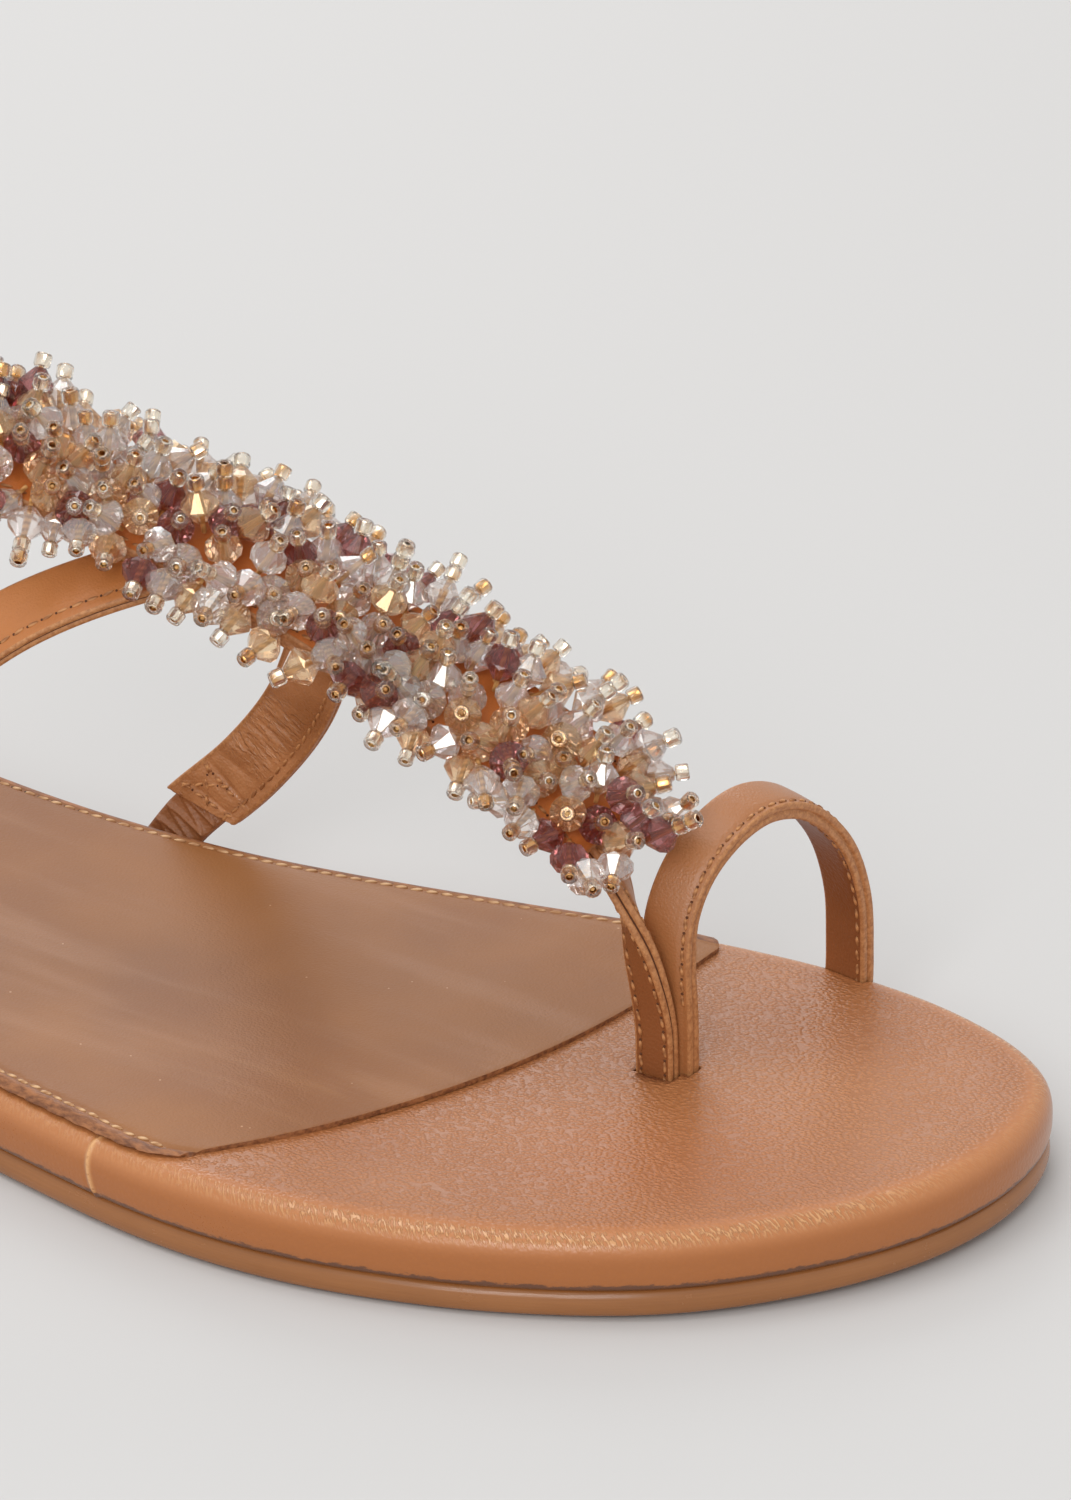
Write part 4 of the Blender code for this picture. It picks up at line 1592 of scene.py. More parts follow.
    def seat_cutter(self, reach: float, from_end: bool, clearance: float = 0.14) -> bpy.types.Object:
        """A plain fat copy of one end of the strap, to cut its seat out of the footbed.

        Args:
            reach: length of strap that is copied.
            from_end: take the last stretch and not the first.
            clearance: room left round the strap.

        Returns:
            The cutter's object.
        """
        length = self.frames["length"]
        chosen = np.where(length >= length[-1] - reach if from_end else length <= reach)[0]
        wide, half = self.width / 2 + clearance, self.thickness / 2 + clearance
        box = [(wide, half), (-wide, half), (-wide, -half), (wide, -half)]
        points, faces = [], []
        for k in chosen:
            out = int(from_end and k == chosen[-1]) - int(not from_end and k == chosen[0])
            middle = self.frames["centre"][k] + self.frames["along"][k] * clearance * MM * out
            side, face = self.frames["side"][k], self.frames["face"][k]
            points += [middle + (side * w + face * h) * MM for w, h in box]
        for k in range(len(chosen) - 1):
            for j in range(4):
                n = (j + 1) % 4
                faces.append((4 * k + j, 4 * k + n, 4 * k + 4 + n, 4 * k + 4 + j))
        faces += [(0, 1, 2, 3), tuple(len(points) - 4 + j for j in range(4))]
        return shape_object(self.name + "_seat", np.array(points), faces, [])

    def face_point(self, along: np.ndarray, across: np.ndarray, outer: bool) -> Line:
        """Points on a face of the strap, just in its stitch channel.

        Args:
            along: distances along the strap.
            across: distances from the middle of the strap.
            outer: on the outer face and not on the lining.

        Returns:
            Points in metres and unit vectors out of the face.
        """
        share = 2 * across / self.width
        crown = (self.crown if outer else 0.0) * (1 - share ** 2)
        level = self.thickness / 2 + crown - self.thread_depth * self.trough(across)
        up = self.read("face", along) * (1.0 if outer else -1.0)
        on = self.slanted(along, across)
        offset = self.read("side", along) * across[:, None] + self.read("along", along) * on[:, None]
        return self.read("centre", along) + (offset + up * level[:, None]) * MM, up

    def stitch_line(self, row: "StitchRow", phase: float) -> Line:
        """Points and outward directions of a row of stitches.

        Args:
            row: where the row runs.
            phase: distance by which the row starts later.

        Returns:
            Points in metres and unit vectors.
        """
        end = self.frames["length"][-1] + row.end if row.end <= 0 else row.end
        start = self.frames["length"][-1] + row.start if row.start < 0 else row.start
        run = math.hypot(end - start, row.to - row.across)
        share = np.linspace(min(phase / run, 0.9), 1.0, max(int(run * 4), 2))
        across = row.across + (row.to - row.across) * share
        return self.face_point(start + (end - start) * share, across, row.outer)


class StitchRow(NamedTuple):
    """A straight row of stitches on a strap; a start below 0 or an end not above 0 counts from its end."""

    strap: str
    start: float
    end: float
    across: float
    to: float
    outer: bool


STITCH_ROWS = (
    StitchRow("bar", 1.2, -6.0, -5.3, -5.3, True),
    StitchRow("bar", 1.2, -6.0, 5.3, 5.3, True),
    StitchRow("bar", 1.2, -6.0, -5.3, -5.3, False),
    StitchRow("thong", 5.0, -12.0, -1.5, -1.5, False),
    StitchRow("thong", 5.0, -12.0, 1.5, 1.5, False),
    StitchRow("thong", 5.0, -12.0, -1.5, -1.5, True),
    StitchRow("ring", 14.0, -5.0, 2.0, 2.0, True),
    StitchRow("ring", 14.0, -5.0, 2.0, 2.0, False),
    StitchRow("medial", 6.0, -0.8, 2.7, 2.7, False),
    StitchRow("medial", 6.0, -0.8, 2.7, 2.7, True),
    StitchRow("medial", -1.4, -1.4, -2.8, 2.7, False),
    StitchRow("medial", -4.6, -4.6, -2.8, 2.7, False),
    StitchRow("medial", -4.6, -1.4, -2.8, 0.0, False),
    StitchRow("medial", -4.6, -1.4, 0.0, -2.8, False),
    StitchRow("lateral", 6.0, -5.0, -2.3, -2.3, True),
)


class NodeTree:
    """A Geometry Nodes tree with named inputs."""

    def __init__(self, name: str, **inputs: str) -> None:
        """Start a tree.

        Args:
            name: the tree's name.
            inputs: socket type of every input after the geometry.
        """
        self.tree = bpy.data.node_groups.new(name, "GeometryNodeTree")
        face = self.tree.interface
        face.new_socket("Geometry", in_out="INPUT", socket_type="NodeSocketGeometry")
        face.new_socket("Geometry", in_out="OUTPUT", socket_type="NodeSocketGeometry")
        self.keys = {}
        for key, kind in inputs.items():
            socket = face.new_socket(key, in_out="INPUT", socket_type="NodeSocket" + kind)
            self.keys[key] = socket.identifier
        self.given = self.tree.nodes.new("NodeGroupInput").outputs
        self.result = self.tree.nodes.new("NodeGroupOutput").inputs

    def node(self, kind: str, settings: dict, sockets: dict, output: Any = 0) -> bpy.types.NodeSocket:
        """Add a node.

        Args:
            kind: the node's type.
            settings: its properties.
            sockets: values or output sockets for its inputs.
            output: the output wanted, by name or number.

        Returns:
            That output's socket.
        """
        node = self.tree.nodes.new(kind)
        for key, value in settings.items():
            setattr(node, key, value)
        for key, value in sockets.items():
            if isinstance(value, bpy.types.NodeSocket):
                self.tree.links.new(value, node.inputs[key])
            else:
                node.inputs[key].default_value = value
        return node.outputs[output]

    def attribute(self, name: str, kind: str) -> bpy.types.NodeSocket:
        """Values of one of the mesh's layers."""
        return self.node("GeometryNodeInputNamedAttribute", {"data_type": kind}, {"Name": name})

    def turned(self, rotation: bpy.types.NodeSocket, turn: bpy.types.NodeSocket) -> bpy.types.NodeSocket:
        """A rotation that is turned on about its own axes."""
        sockets = {"Rotation": rotation, "Rotate By": turn}
        return self.node("FunctionNodeRotateRotation", {"rotation_space": "LOCAL"}, sockets)

    def close(self, **sockets: bpy.types.NodeSocket) -> None:
        """Set instances on points, make them real, give them the material and end the tree.

        Args:
            sockets: inputs of the node that sets the instances.
        """
        stood = self.node("GeometryNodeInstanceOnPoints", {}, sockets)
        real = self.node("GeometryNodeRealizeInstances", {}, {"Geometry": stood})
        dress = {"Geometry": real, "Material": self.given["Material"]}
        self.tree.links.new(self.node("GeometryNodeSetMaterial", {}, dress), self.result[0])

    def run(self, thing: bpy.types.Object, **values: Any) -> bpy.types.Object:
        """Run the tree on an object and keep the result as a plain mesh.

        Args:
            thing: the object whose points the tree works on.
            values: the tree's inputs.

        Returns:
            The same object with the tree's result.
        """
        modifier = thing.modifiers.new(self.tree.name, "NODES")
        modifier.node_group = self.tree
        for key, value in values.items():
            modifier[self.keys[key]] = value
        return settled(thing)


def stitch_tree() -> NodeTree:
    """Make the tree that sews a row of stitches along every line of a mesh of lines.

    Returns:
        The tree, with the stitches' sizes as inputs.
    """
    sizes = dict.fromkeys(("Pitch", "Length", "Width", "Height", "Slant"), "Float")
    tree = NodeTree("sewn_stitches", **sizes, Seed="Int", Material="Material")
    given = tree.given
    line = tree.node("GeometryNodeMeshToCurve", {}, {"Mesh": given["Geometry"]})
    even = {"Curve": line, "Length": given["Pitch"]}
    tangent = tree.node("GeometryNodeInputTangent", {}, {})
    upright = tree.node(
        "FunctionNodeAxesToRotation",
        {"primary_axis": "Z", "secondary_axis": "X"},
        {"Primary Axis": tree.attribute(UP, "FLOAT_VECTOR"), "Secondary Axis": tangent},
    )
    sway = tree.node(
        "FunctionNodeRandomValue",
        {"data_type": "FLOAT_VECTOR"},
        {"Min": (-0.08, -0.05, -0.12), "Max": (0.08, 0.05, 0.12), "Seed": given["Seed"]},
    )
    slant = tree.node("ShaderNodeCombineXYZ", {}, {"Z": given["Slant"]})
    turn = tree.node("ShaderNodeVectorMath", {"operation": "ADD"}, {0: sway, 1: slant})
    ball = tree.node("GeometryNodeMeshUVSphere", {}, {"Segments": 8, "Rings": 6, "Radius": 0.5})
    size = {"X": given["Length"], "Y": given["Width"], "Z": given["Height"]}
    scale = tree.node("ShaderNodeCombineXYZ", {}, size)
    stitch = tree.node("GeometryNodeTransform", {}, {"Geometry": ball, "Scale": scale})
    tree.close(
        Points=tree.node("GeometryNodeResampleCurve", {"mode": "LENGTH"}, even),
        Instance=tree.node("GeometryNodeSetShadeSmooth", {}, {"Geometry": stitch}),
        Rotation=tree.turned(upright, turn),
    )
    return tree


def bead_tree() -> NodeTree:
    """Make the tree that stands a bead on every point of a mesh, along the point's stalk.

    Returns:
        The tree, with the bead as an input.
    """
    tree = NodeTree("set_beads", Bead="Object", Material="Material")
    stalk = {"Vector": tree.attribute(STALK, "FLOAT_VECTOR")}
    upright = tree.node("FunctionNodeAlignRotationToVector", {"axis": "Z"}, stalk)
    twist = tree.node("ShaderNodeCombineXYZ", {}, {"Z": tree.attribute(SPIN, "FLOAT")})
    source = {"Object": tree.given["Bead"], "As Instance": True}
    tree.close(
        Points=tree.given["Geometry"],
        Instance=tree.node("GeometryNodeObjectInfo", {}, source, "Geometry"),
        Rotation=tree.turned(upright, twist),
        Scale=tree.attribute(SIZE, "FLOAT"),
    )
    return tree


def turned_shape(
    name: str,
    profile: Sequence[Span],
    sides: int,
    smooth: bool,
    twist_from: int | None = None,
) -> bpy.types.Object:
    """A closed shape turned about Z, for use as a bead.

    Args:
        name: the object's name.
        profile: radius and height of every ring, round a closed section or from pole to pole.
        sides: facets round the axis.
        smooth: shade it smooth.
        twist_from: the ring from which on the facets are turned by half a facet.

    Returns:
        The object, with sizes in millimetres.
    """
    shape = bmesh.new()
    closed = profile[0] == profile[-1]
    rings = []
    for i, (radius, height) in enumerate(profile[:-1] if closed else profile):
        start = 0.5 if twist_from is not None and i >= twist_from else 0.0
        turns = [math.tau * (k + start) / sides for k in range(sides)]
        ring = [Vector((radius * math.cos(turn), radius * math.sin(turn), height)) * MM for turn in turns]
        rings.append([shape.verts.new(point) for point in ring])
    pairs = list(zip(rings, rings[1:])) + ([(rings[-1], rings[0])] if closed else [])
    for i, (low, high) in enumerate(pairs):
        for k in range(sides):
            n = (k + 1) % sides
            if i + 1 == twist_from:
                shape.faces.new((low[k], low[n], high[k]))
                shape.faces.new((low[n], high[n], high[k]))
            else:
                shape.faces.new((low[k], low[n], high[n], high[k]))
    if not closed:
        shape.faces.new(rings[0])
        shape.faces.new(rings[-1])
    bmesh.ops.recalc_face_normals(shape, faces=shape.faces)
    mesh = bpy.data.meshes.new(name)
    shape.to_mesh(mesh)
    shape.free()
    if smooth:
        mesh.shade_smooth()
    return linked(name, mesh)


ROSE_GLASS = Glass(
    "rose_glass", (1.0, 0.95, 0.92, 1.0), (1.0, 0.88, 0.84, 1.0), clear=0.87, alpha=0.87, film=66.0,
)
CHAMPAGNE_GLASS = Glass(
    "champagne_glass", (1.0, 0.71, 0.42, 1.0), (1.0, 0.55, 0.27, 1.0), clear=0.89, film=92.0,
)
PLUM_GLASS = Glass(
    "plum_glass", (0.53, 0.20, 0.20, 1.0), (0.41, 0.11, 0.11, 1.0), clear=0.92, alpha=0.9, film=0.0,
)
SEED_GLASS = Glass(
    "seed_glass", (1.0, 0.98, 0.94, 1.0), (1.0, 0.92, 0.80, 1.0), clear=0.98, alpha=0.8, film=0.0,
)


class BeadTint(Enum):
    """Tints of the cut beads, with their glass and their share of the beads."""

    ROSE = (ROSE_GLASS, 0.41)
    CHAMPAGNE = (CHAMPAGNE_GLASS, 0.29)
    PLUM = (PLUM_GLASS, 0.30)

    @property
    def glass(self) -> Glass:
        """The tint's glass."""
        return self.value[0]

    @property
    def share(self) -> float:
        """The tint's share of the beads."""
        return self.value[1]


@dataclass
class Bead:
    """One cut bead: where it stands, its stalk, tint, size and spin, and how many seed beads it has."""

    middle: np.ndarray
    stalk: np.ndarray
    tint: BeadTint
    size: float
    spin: float
    seeds: int


@dataclass
class BeadCluster:
    """Cut glass beads standing all over the instep bar, each tied down by a seed bead."""

    bar: Strap
    count: int = 186
    tries: int = 80
    fan: float = math.radians(98)
    tail: float = 8.0
    front: float = -2.2
    bed_crown: float = 1.2
    low: float = 1.75
    high: float = 3.5
    sway: float = 0.45
    front_fan: float = 0.66
    near_fan: float = 0.7
    front_reach: float = 15.0
    half_bead: float = 1.85
    seed_gap: float = 0.85
    seed_pitch: float = 1.55
    edge_margin: float = 0.4
    front_lean: float = 0.55
    front_lean_reach: float = 5.0
    pair_chance: float = 0.12
    sizes: Span = (0.93, 1.06)
    number: int = 11

    def spot(self, along: float, lean: float, lift: float) -> tuple[np.ndarray, np.ndarray]:
        """Middle and stalk of a bead on the bar.

        Args:
            along: distance from the bar's front end.
            lean: angle from the bar's face towards its medial edge.
            lift: height of the bead's middle over the leather.

        Returns:
            The middle in metres and the stalk's direction.
        """
        keys = ("centre", "side", "face", "along")
        centre, side, face, ahead = (self.bar.read(key, along) for key in keys)
        half = self.bar.width / 2 - self.edge_margin
        root = centre + ahead * min(along, 0.0) * MM
        root = root + side * half * math.sin(lean) * MM
        root = root + face * (self.bar.thickness / 2 + self.bed_crown * max(math.cos(lean), 0.0)) * MM
        stalk = side * math.sin(lean) + face * math.cos(lean)
        forward = max(0.0, 1 - along / self.front_lean_reach)
        stalk = stalk - ahead * self.front_lean * forward
        stalk /= np.linalg.norm(stalk)
        return root + stalk * lift * MM, stalk

    def beads(self) -> list[Bead]:
        """Spread beads evenly but at random over the bar.

        Returns:
            The beads, each set where it has the most room.
        """
        lots = random.Random(self.number)
        span = self.bar.frames["length"][-1] - self.tail
        tints = list(BeadTint)
        weights = [tint.share for tint in tints]
        kept: list[Bead] = []
        middles = np.empty((0, 3))
        for _ in range(self.count):
            best, best_room = None, -1.0
            for _ in range(self.tries):
                along = lots.uniform(self.front, span)
                share = min(max(along, 0.0) / self.front_reach, 1.0)
                near = self.near_fan + (1 - self.near_fan) * share
                far = self.front_fan + (1 - self.front_fan) * share
                lean = lots.uniform(-self.fan * near, self.fan * far)
                lift = self.low + (self.high - self.low) * lots.random() ** 2
                middle, stalk = self.spot(along, lean, lift)
                room = np.linalg.norm(middles - middle, axis=1).min() if len(middles) else 1.0
                if room > best_room:
                    best, best_room = (middle, stalk), room
            middle, stalk = best
            stalk = stalk + np.array([lots.uniform(-self.sway, self.sway) for _ in range(3)])
            stalk /= np.linalg.norm(stalk)
            middles = np.vstack([middles, middle])
            tint = lots.choices(tints, weights)[0]
            seeds = 2 if lots.random() < self.pair_chance else 1
            size = lots.uniform(*self.sizes)
            spin = lots.uniform(0, math.tau)
            kept.append(Bead(middle, stalk, tint, size, spin, seeds))
        return kept

    @staticmethod
    def points(name: str, rows: Sequence[tuple[np.ndarray, np.ndarray, float, float]]) -> bpy.types.Object:
        """A mesh of points that carry a stalk, a spin and a size.

        Args:
            name: the object's name.
            rows: middle, stalk, spin and size of every point.

        Returns:
            The linked object.
        """
        mesh = bpy.data.meshes.new(name)
        mesh.from_pydata([tuple(row[0]) for row in rows], [], [])
        stalks = mesh.attributes.new(STALK, "FLOAT_VECTOR", "POINT")
        stalks.data.foreach_set("vector", np.array([row[1] for row in rows], np.float32).ravel())
        for key, column in ((SPIN, 2), (SIZE, 3)):
            layer = mesh.attributes.new(key, "FLOAT", "POINT")
            layer.data.foreach_set("value", np.array([row[column] for row in rows], np.float32))
        return linked(name, mesh)

    def build(self, finishes: Finishes) -> list[bpy.types.Object]:
        """Build the beads: a piece for each tint, for the threads, the seed beads and their linings.

        Args:
            finishes: the sandal's materials.

        Returns:
            The pieces.
        """
        tree = bead_tree()
        waist, table, belt = 2.05, 0.66, 0.2
        cut_profile = [(table, -self.half_bead), (waist, -belt), (waist, belt), (table, self.half_bead)]
        cut = turned_shape("cut_bead", cut_profile, 9, smooth=False, twist_from=2)
        bore, wall, half, lip_in, lip_out = 0.38, 0.92, 0.74, 0.48, 0.78
        tube = [(bore, half - 0.1), (lip_in, half), (lip_out, half), (wall, half - 0.2), (wall, 0.2 - half)]
        tube += [(lip_out, -half), (lip_in, -half), (bore, 0.1 - half), (bore, half - 0.1)]
        seed = turned_shape("seed_bead", tube, 12, smooth=True)
        foil_profile = [(0.36, -0.6), (0.52, -0.5), (0.52, 0.5), (0.36, 0.6), (0.36, -0.6)]
        lining = turned_shape("seed_lining", foil_profile, 8, smooth=False)
        tie_profile = [(0.2, -3.3), (0.28, -3.2), (0.28, 3.0), (0.16, 3.15)]
        tie = turned_shape("bead_thread", tie_profile, 6, smooth=False)
        beads = self.beads()
        pieces = []
        for tint in BeadTint:
            rows = [(bead.middle, bead.stalk, bead.spin, bead.size) for bead in beads if bead.tint is tint]
            cloud = self.points(tint.name.lower() + "_cut_beads", rows)
            pieces.append(tree.run(cloud, Bead=cut, Material=tint.glass.make()))
        rows = [(bead.middle, bead.stalk, bead.spin, bead.size) for bead in beads]
        pieces.append(tree.run(self.points("bead_threads", rows), Bead=tie, Material=finishes.bead_thread))
        rows = []
        for bead in beads:
            for k in range(bead.seeds):
                reach = (self.half_bead + self.seed_gap) * bead.size + k * self.seed_pitch
                rows.append((bead.middle + bead.stalk * reach * MM, bead.stalk, bead.spin, bead.size))
        pieces.append(tree.run(self.points("seed_beads", rows), Bead=seed, Material=SEED_GLASS.make()))
        pieces.append(tree.run(self.points("seed_linings", rows), Bead=lining, Material=finishes.foil))
        for source in (cut, seed, lining, tie):
            bpy.data.objects.remove(source, do_unlink=True)
        return pieces


@dataclass
class Uppers:
    """The straps of the sandal and what they are sewn with."""

    finishes: Finishes
    bar: Strap
    thong: Strap
    medial: Strap
    lateral: Strap
    ring: Strap
    elastic: Strap

    @classmethod
    def plan(cls, finishes: Finishes) -> "Uppers":
        """Set out the straps.

        Args:
            finishes: the sandal's materials.

        Returns:
            The straps, not yet built.
        """
        folds = [Crease(1.05 * k + 0.6, -0.3 - 0.12 * (k % 2), 0.3, 0.16 * (-1) ** k) for k in range(17)]
        return cls(
            finishes,
            bar=Strap(
                "instep_bar", BAR_PATH, width=13.0, thickness=2.2, steps=220,
                round_tail=True, channels=(-5.3, 5.3),
            ),
            thong=Strap("thong_strap", THONG_PATH, width=4.5, thickness=1.8, channels=(-1.5, 1.5)),
            medial=Strap(
                "medial_strap", MEDIAL_PATH, width=8.2, thickness=1.8, steps=420, corner=0.5,
                channels=(2.7,), channel_depth=0.26, round_over=0.4, lining_creases=MEDIAL_WRINKLES,
                end_slant=0.6,
            ),
            lateral=Strap(
                "lateral_strap", LATERAL_PATH, width=7.5, thickness=1.8, steps=200, channels=(-2.3,),
            ),
            ring=Strap("toe_ring_strap", RING_PATH, width=5.6, thickness=2.0, steps=260, channels=(2.0,)),
            elastic=Strap(
                "ruched_elastic", ELASTIC_PATH, width=6.0, thickness=1.2,
                outer_creases=folds, lining_creases=folds,
            ),
        )

    def build(self) -> None:
        """Build and dress every strap."""
        made = self.finishes
        # the last material is the dark painted shade of the edge grooves
        for strap, outer, lining in (
            (self.bar, made.bar, made.lining),
            (self.thong, made.strap, made.lining),
            # the medial strap's lining is the lighter copy with painted light
            (self.medial, made.strap, made.medial_lining),
            (self.lateral, made.side_strap, made.lining),
        ):
            seat_piece(strap.build(outer, made.raw_edge, lining, made.hole_shade), "tan_leather", "upper")
        ring = self.ring.build(made.strap, made.raw_edge, made.lining, made.hole_shade)
        seat_piece(ring, "tan_leather", "toe_ring")
        elastic = self.elastic.build(*[made.elastic] * 3, made.hole_shade)
        seat_piece(elastic, "elastic_and_thread", "elastic_tab")

    def stitch_lines(self, phase: float) -> list[Line]:
        """Rows of stitches on the straps, started later by a phase."""
        return [getattr(self, row.strap).stitch_line(row, phase) for row in STITCH_ROWS]


@dataclass
class Stitching:
    """Sewn rows: sizes of the stitches, their slant, and how far on the first one lies."""

    name: str
    pitch: float
    length: float
    width: float
    height: float
    slant: float
    seed: int
    phase: float = 0.0

    def build(
        self, tree: NodeTree, lines: Sequence[Line], material: bpy.types.Material
    ) -> bpy.types.Object:
        """Sew the rows.

        Args:
            tree: the stitching tree.
            lines: points and outward directions of every row.
            material: the thread.

        Returns:
            The stitches as one piece.
        """
        mesh = bpy.data.meshes.new(self.name)
        points, edges, ups = [], [], []
        for line, up in lines:
            start = len(points)
            points += [tuple(point) for point in line]
            ups += [tuple(direction) for direction in up]
            edges += [(start + k, start + k + 1) for k in range(len(line) - 1)]
        mesh.from_pydata(points, edges, [])
        layer = mesh.attributes.new(UP, "FLOAT_VECTOR", "POINT")
        layer.data.foreach_set("vector", np.array(ups, np.float32).ravel())
        return tree.run(
            linked(self.name, mesh),
            Pitch=self.pitch * MM,
            Length=self.length * MM,
            Width=self.width * MM,
            Height=self.height * MM,
            Slant=self.slant,
            Seed=self.seed,
            Material=material,
        )


# The needle holes are small dark marks of painted shade between the stitches.
SOCK_SEWING = (
    Stitching("sock_stitches", pitch=1.8, length=1.45, width=0.46, height=0.4, slant=0.16, seed=3),
    Stitching(
        "sock_needle_holes", pitch=1.8, length=0.36, width=0.4, height=0.2, slant=0.0, seed=5, phase=0.9,
    ),
)
STRAP_SEWING = (
    Stitching("strap_stitches", pitch=1.7, length=1.35, width=0.42, height=0.36, slant=0.14, seed=4),
    Stitching(
        "strap_needle_holes", pitch=1.7, length=0.3, width=0.34, height=0.18, slant=0.0, seed=6, phase=0.85,
    ),
)


@dataclass
class Sole:
    """Outsole, wrapped footbed and sock."""

    finishes: Finishes
    seam_station: float = 165.9
    toe_seat: float = 13.0
    elastic_seat: float = 9.0
    lateral_seat: float = 16.0

    def build(self, uppers: Uppers) -> Sock:
        """Build and dress the sole's layers.

        Args:
            uppers: the straps, whose ends are let into the footbed.

        Returns:
            The sock, for its stitches.
        """
        made = self.finishes
        outsole = SoleLayer(
            "polished_outsole", OUTSOLE_EDGE, LAST.ground, LAST.seat, cupped=False, rings=19,
        )
        seat_piece(outsole.build(made.sole), "sole_leather", "outsole")
        footbed = SoleLayer(
            "wrapped_footbed",
            FOOTBED_EDGE,
            LAST.bed_floor,
            LAST.bed_roof,
            cupped=True,
            rings=34,
            seam_station=self.seam_station,
        ).build(made.footbed)
        cutters = [
            uppers.thong.seat_cutter(self.toe_seat, from_end=False),
            uppers.ring.seat_cutter(self.toe_seat, from_end=False),
            uppers.ring.seat_cutter(self.toe_seat, from_end=True),
            uppers.elastic.seat_cutter(self.elastic_seat, from_end=True),
            uppers.lateral.seat_cutter(self.lateral_seat, from_end=True),
        ]
        for cutter in cutters:
            cut = footbed.modifiers.new(cutter.name, "BOOLEAN")
            cut.operation = "DIFFERENCE"
            cut.object = cutter
        settled(footbed)
        for cutter in cutters:
            bpy.data.objects.remove(cutter, do_unlink=True)
        seat_piece(footbed, "tan_leather", "footbed")
        sock = Sock()
        seat_piece(sock.build(made.sock, made.sock_rim), "sock_leather", "sock")
        return sock


class Softbox(NamedTuple):
    """A square soft light; lengths are in metres and the power in watts."""

    name: str
    place: tuple[float, float, float]
    aim: tuple[float, float, float]
    side: float
    power: float


SOFTBOXES = (
    Softbox("top_box", (-0.1, 0.15, 0.9), (0.0, -0.03, 0.02), 0.55, 2.1),
    Softbox("near_box", (-0.75, -0.35, 0.55), (0.0, -0.05, 0.03), 0.38, 2.6),
    Softbox("far_box", (0.55, 0.45, 0.5), (0.0, -0.03, 0.03), 0.4, 1.4),
)


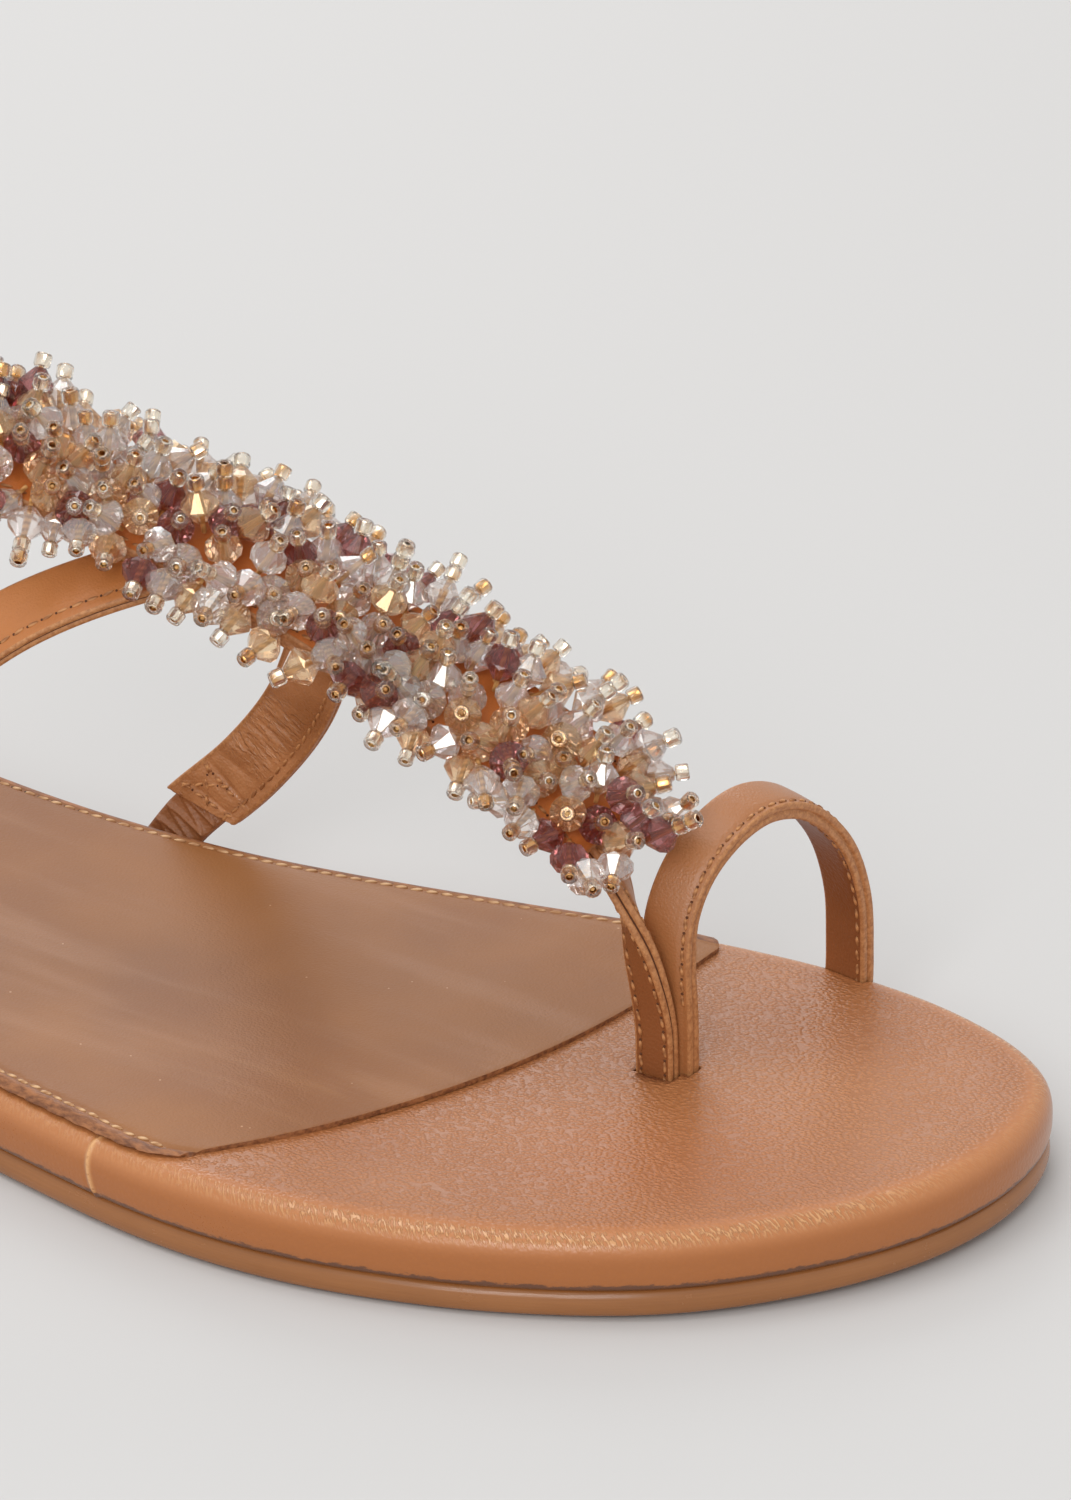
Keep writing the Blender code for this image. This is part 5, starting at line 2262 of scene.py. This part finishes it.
@dataclass
class Studio:
    """Floor, soft light and the camera at the photo's angle."""

    azimuth: float = -56.0
    elevation: float = 26.0
    distance: float = 0.8
    pixels_per_mm: float = 9.5
    anchor: tuple[float, float, float] = (0.008, -0.0835, 0.0095)
    anchor_pixel: tuple[float, float] = (666.0, 1071.0)
    sensor: float = 36.0
    clip_start: float = 0.01
    floor_tone: float = 0.62
    floor_half: float = 3.0
    floor_drop: float = 0.0001
    room_tint: Colour = (0.93, 0.91, 0.89, 1.0)
    room_light: float = 0.8

    def axes(self) -> tuple[Vector, Vector, Vector]:
        """Find the camera's directions.

        Returns:
            Unit vectors back from the view, to its right and up.
        """
        turn, rise = math.radians(self.azimuth), math.radians(self.elevation)
        back = Vector((math.sin(turn) * math.cos(rise), -math.cos(turn) * math.cos(rise), math.sin(rise)))
        right = Vector((math.cos(turn), math.sin(turn), 0.0))
        return back, right, back.cross(right)

    @staticmethod
    def stand(name: str, data: Any, place: Vector, view: Vector) -> bpy.types.Object:
        """Stand a camera or a light in the studio.

        Args:
            name: the object's name.
            data: its camera or light.
            place: where it stands, in metres.
            view: the direction that it looks in.

        Returns:
            The linked object.
        """
        thing = linked(name, data)
        thing.location = place
        thing.rotation_mode = "QUATERNION"
        thing.rotation_quaternion = view.to_track_quat("-Z", "Y")
        return thing

    def camera(self) -> None:
        """Stand the camera where the photo was taken."""
        back, right, up = self.axes()
        aside = (self.anchor_pixel[0] - PHOTO_SIZE[0] / 2) / self.pixels_per_mm * MM
        below = (self.anchor_pixel[1] - PHOTO_SIZE[1] / 2) / self.pixels_per_mm * MM
        data = bpy.data.cameras.new("photo_camera")
        data.sensor_width = self.sensor
        data.lens = self.pixels_per_mm * self.distance / MM / PHOTO_SIZE[1] * self.sensor
        data.clip_start = self.clip_start
        place = Vector(self.anchor) + back * self.distance - right * aside + up * below
        bpy.context.scene.camera = self.stand("photo_camera", data, place, -back)

    def floor(self) -> None:
        """Lay the pale floor."""
        bench = Bench("pale_floor", Roughness=0.9, Base_Color=(*[self.floor_tone] * 3, 1.0))
        half = self.floor_half
        square = np.array([(-half, -half, 0), (half, -half, 0), (half, half, 0), (-half, half, 0)], float)
        corners = square - (0, 0, self.floor_drop)
        thing = shape_object("pale_floor", corners, [(0, 1, 2, 3)], [bench.material])

    def light(self) -> None:
        """Set the room's light and hang the soft boxes."""
        world = bpy.data.worlds.new("studio")
        world.use_nodes = True
        room = world.node_tree.nodes["Background"].inputs
        room["Color"].default_value = self.room_tint
        room["Strength"].default_value = self.room_light
        bpy.context.scene.world = world
        for box in SOFTBOXES:
            data = bpy.data.lights.new(box.name, "AREA")
            data.shape = "SQUARE"
            data.size = box.side
            data.energy = box.power
            self.stand(box.name, data, Vector(box.place), Vector(box.aim) - Vector(box.place))

    def build(self) -> None:
        """Set up the whole studio."""
        self.camera()
        self.floor()
        self.light()
        bpy.context.scene.view_settings.view_transform = "Standard"


def main() -> None:
    """Build the sandal's pieces in order."""
    logging.basicConfig(level=logging.INFO, format="%(name)s %(message)s")
    Studio().build()
    finishes = Finishes()
    uppers = Uppers.plan(finishes)
    sock = Sole(finishes).build(uppers)
    uppers.build()
    tree = stitch_tree()
    for stitch, thread in zip(SOCK_SEWING, (finishes.sock_thread, finishes.hole_shade)):
        rows = [sock.stitch_line(medial, stitch.phase) for medial in (False, True)]
        seat_piece(stitch.build(tree, rows, thread), "elastic_and_thread")
    for stitch, thread in zip(STRAP_SEWING, (finishes.thread, finishes.hole_shade)):
        seat_piece(stitch.build(tree, uppers.stitch_lines(stitch.phase), thread), "elastic_and_thread")
    for piece in BeadCluster(uppers.bar).build(finishes):
        seat_piece(piece, "cut_glass", "bead_cluster")


if __name__ == "__main__":
    main()
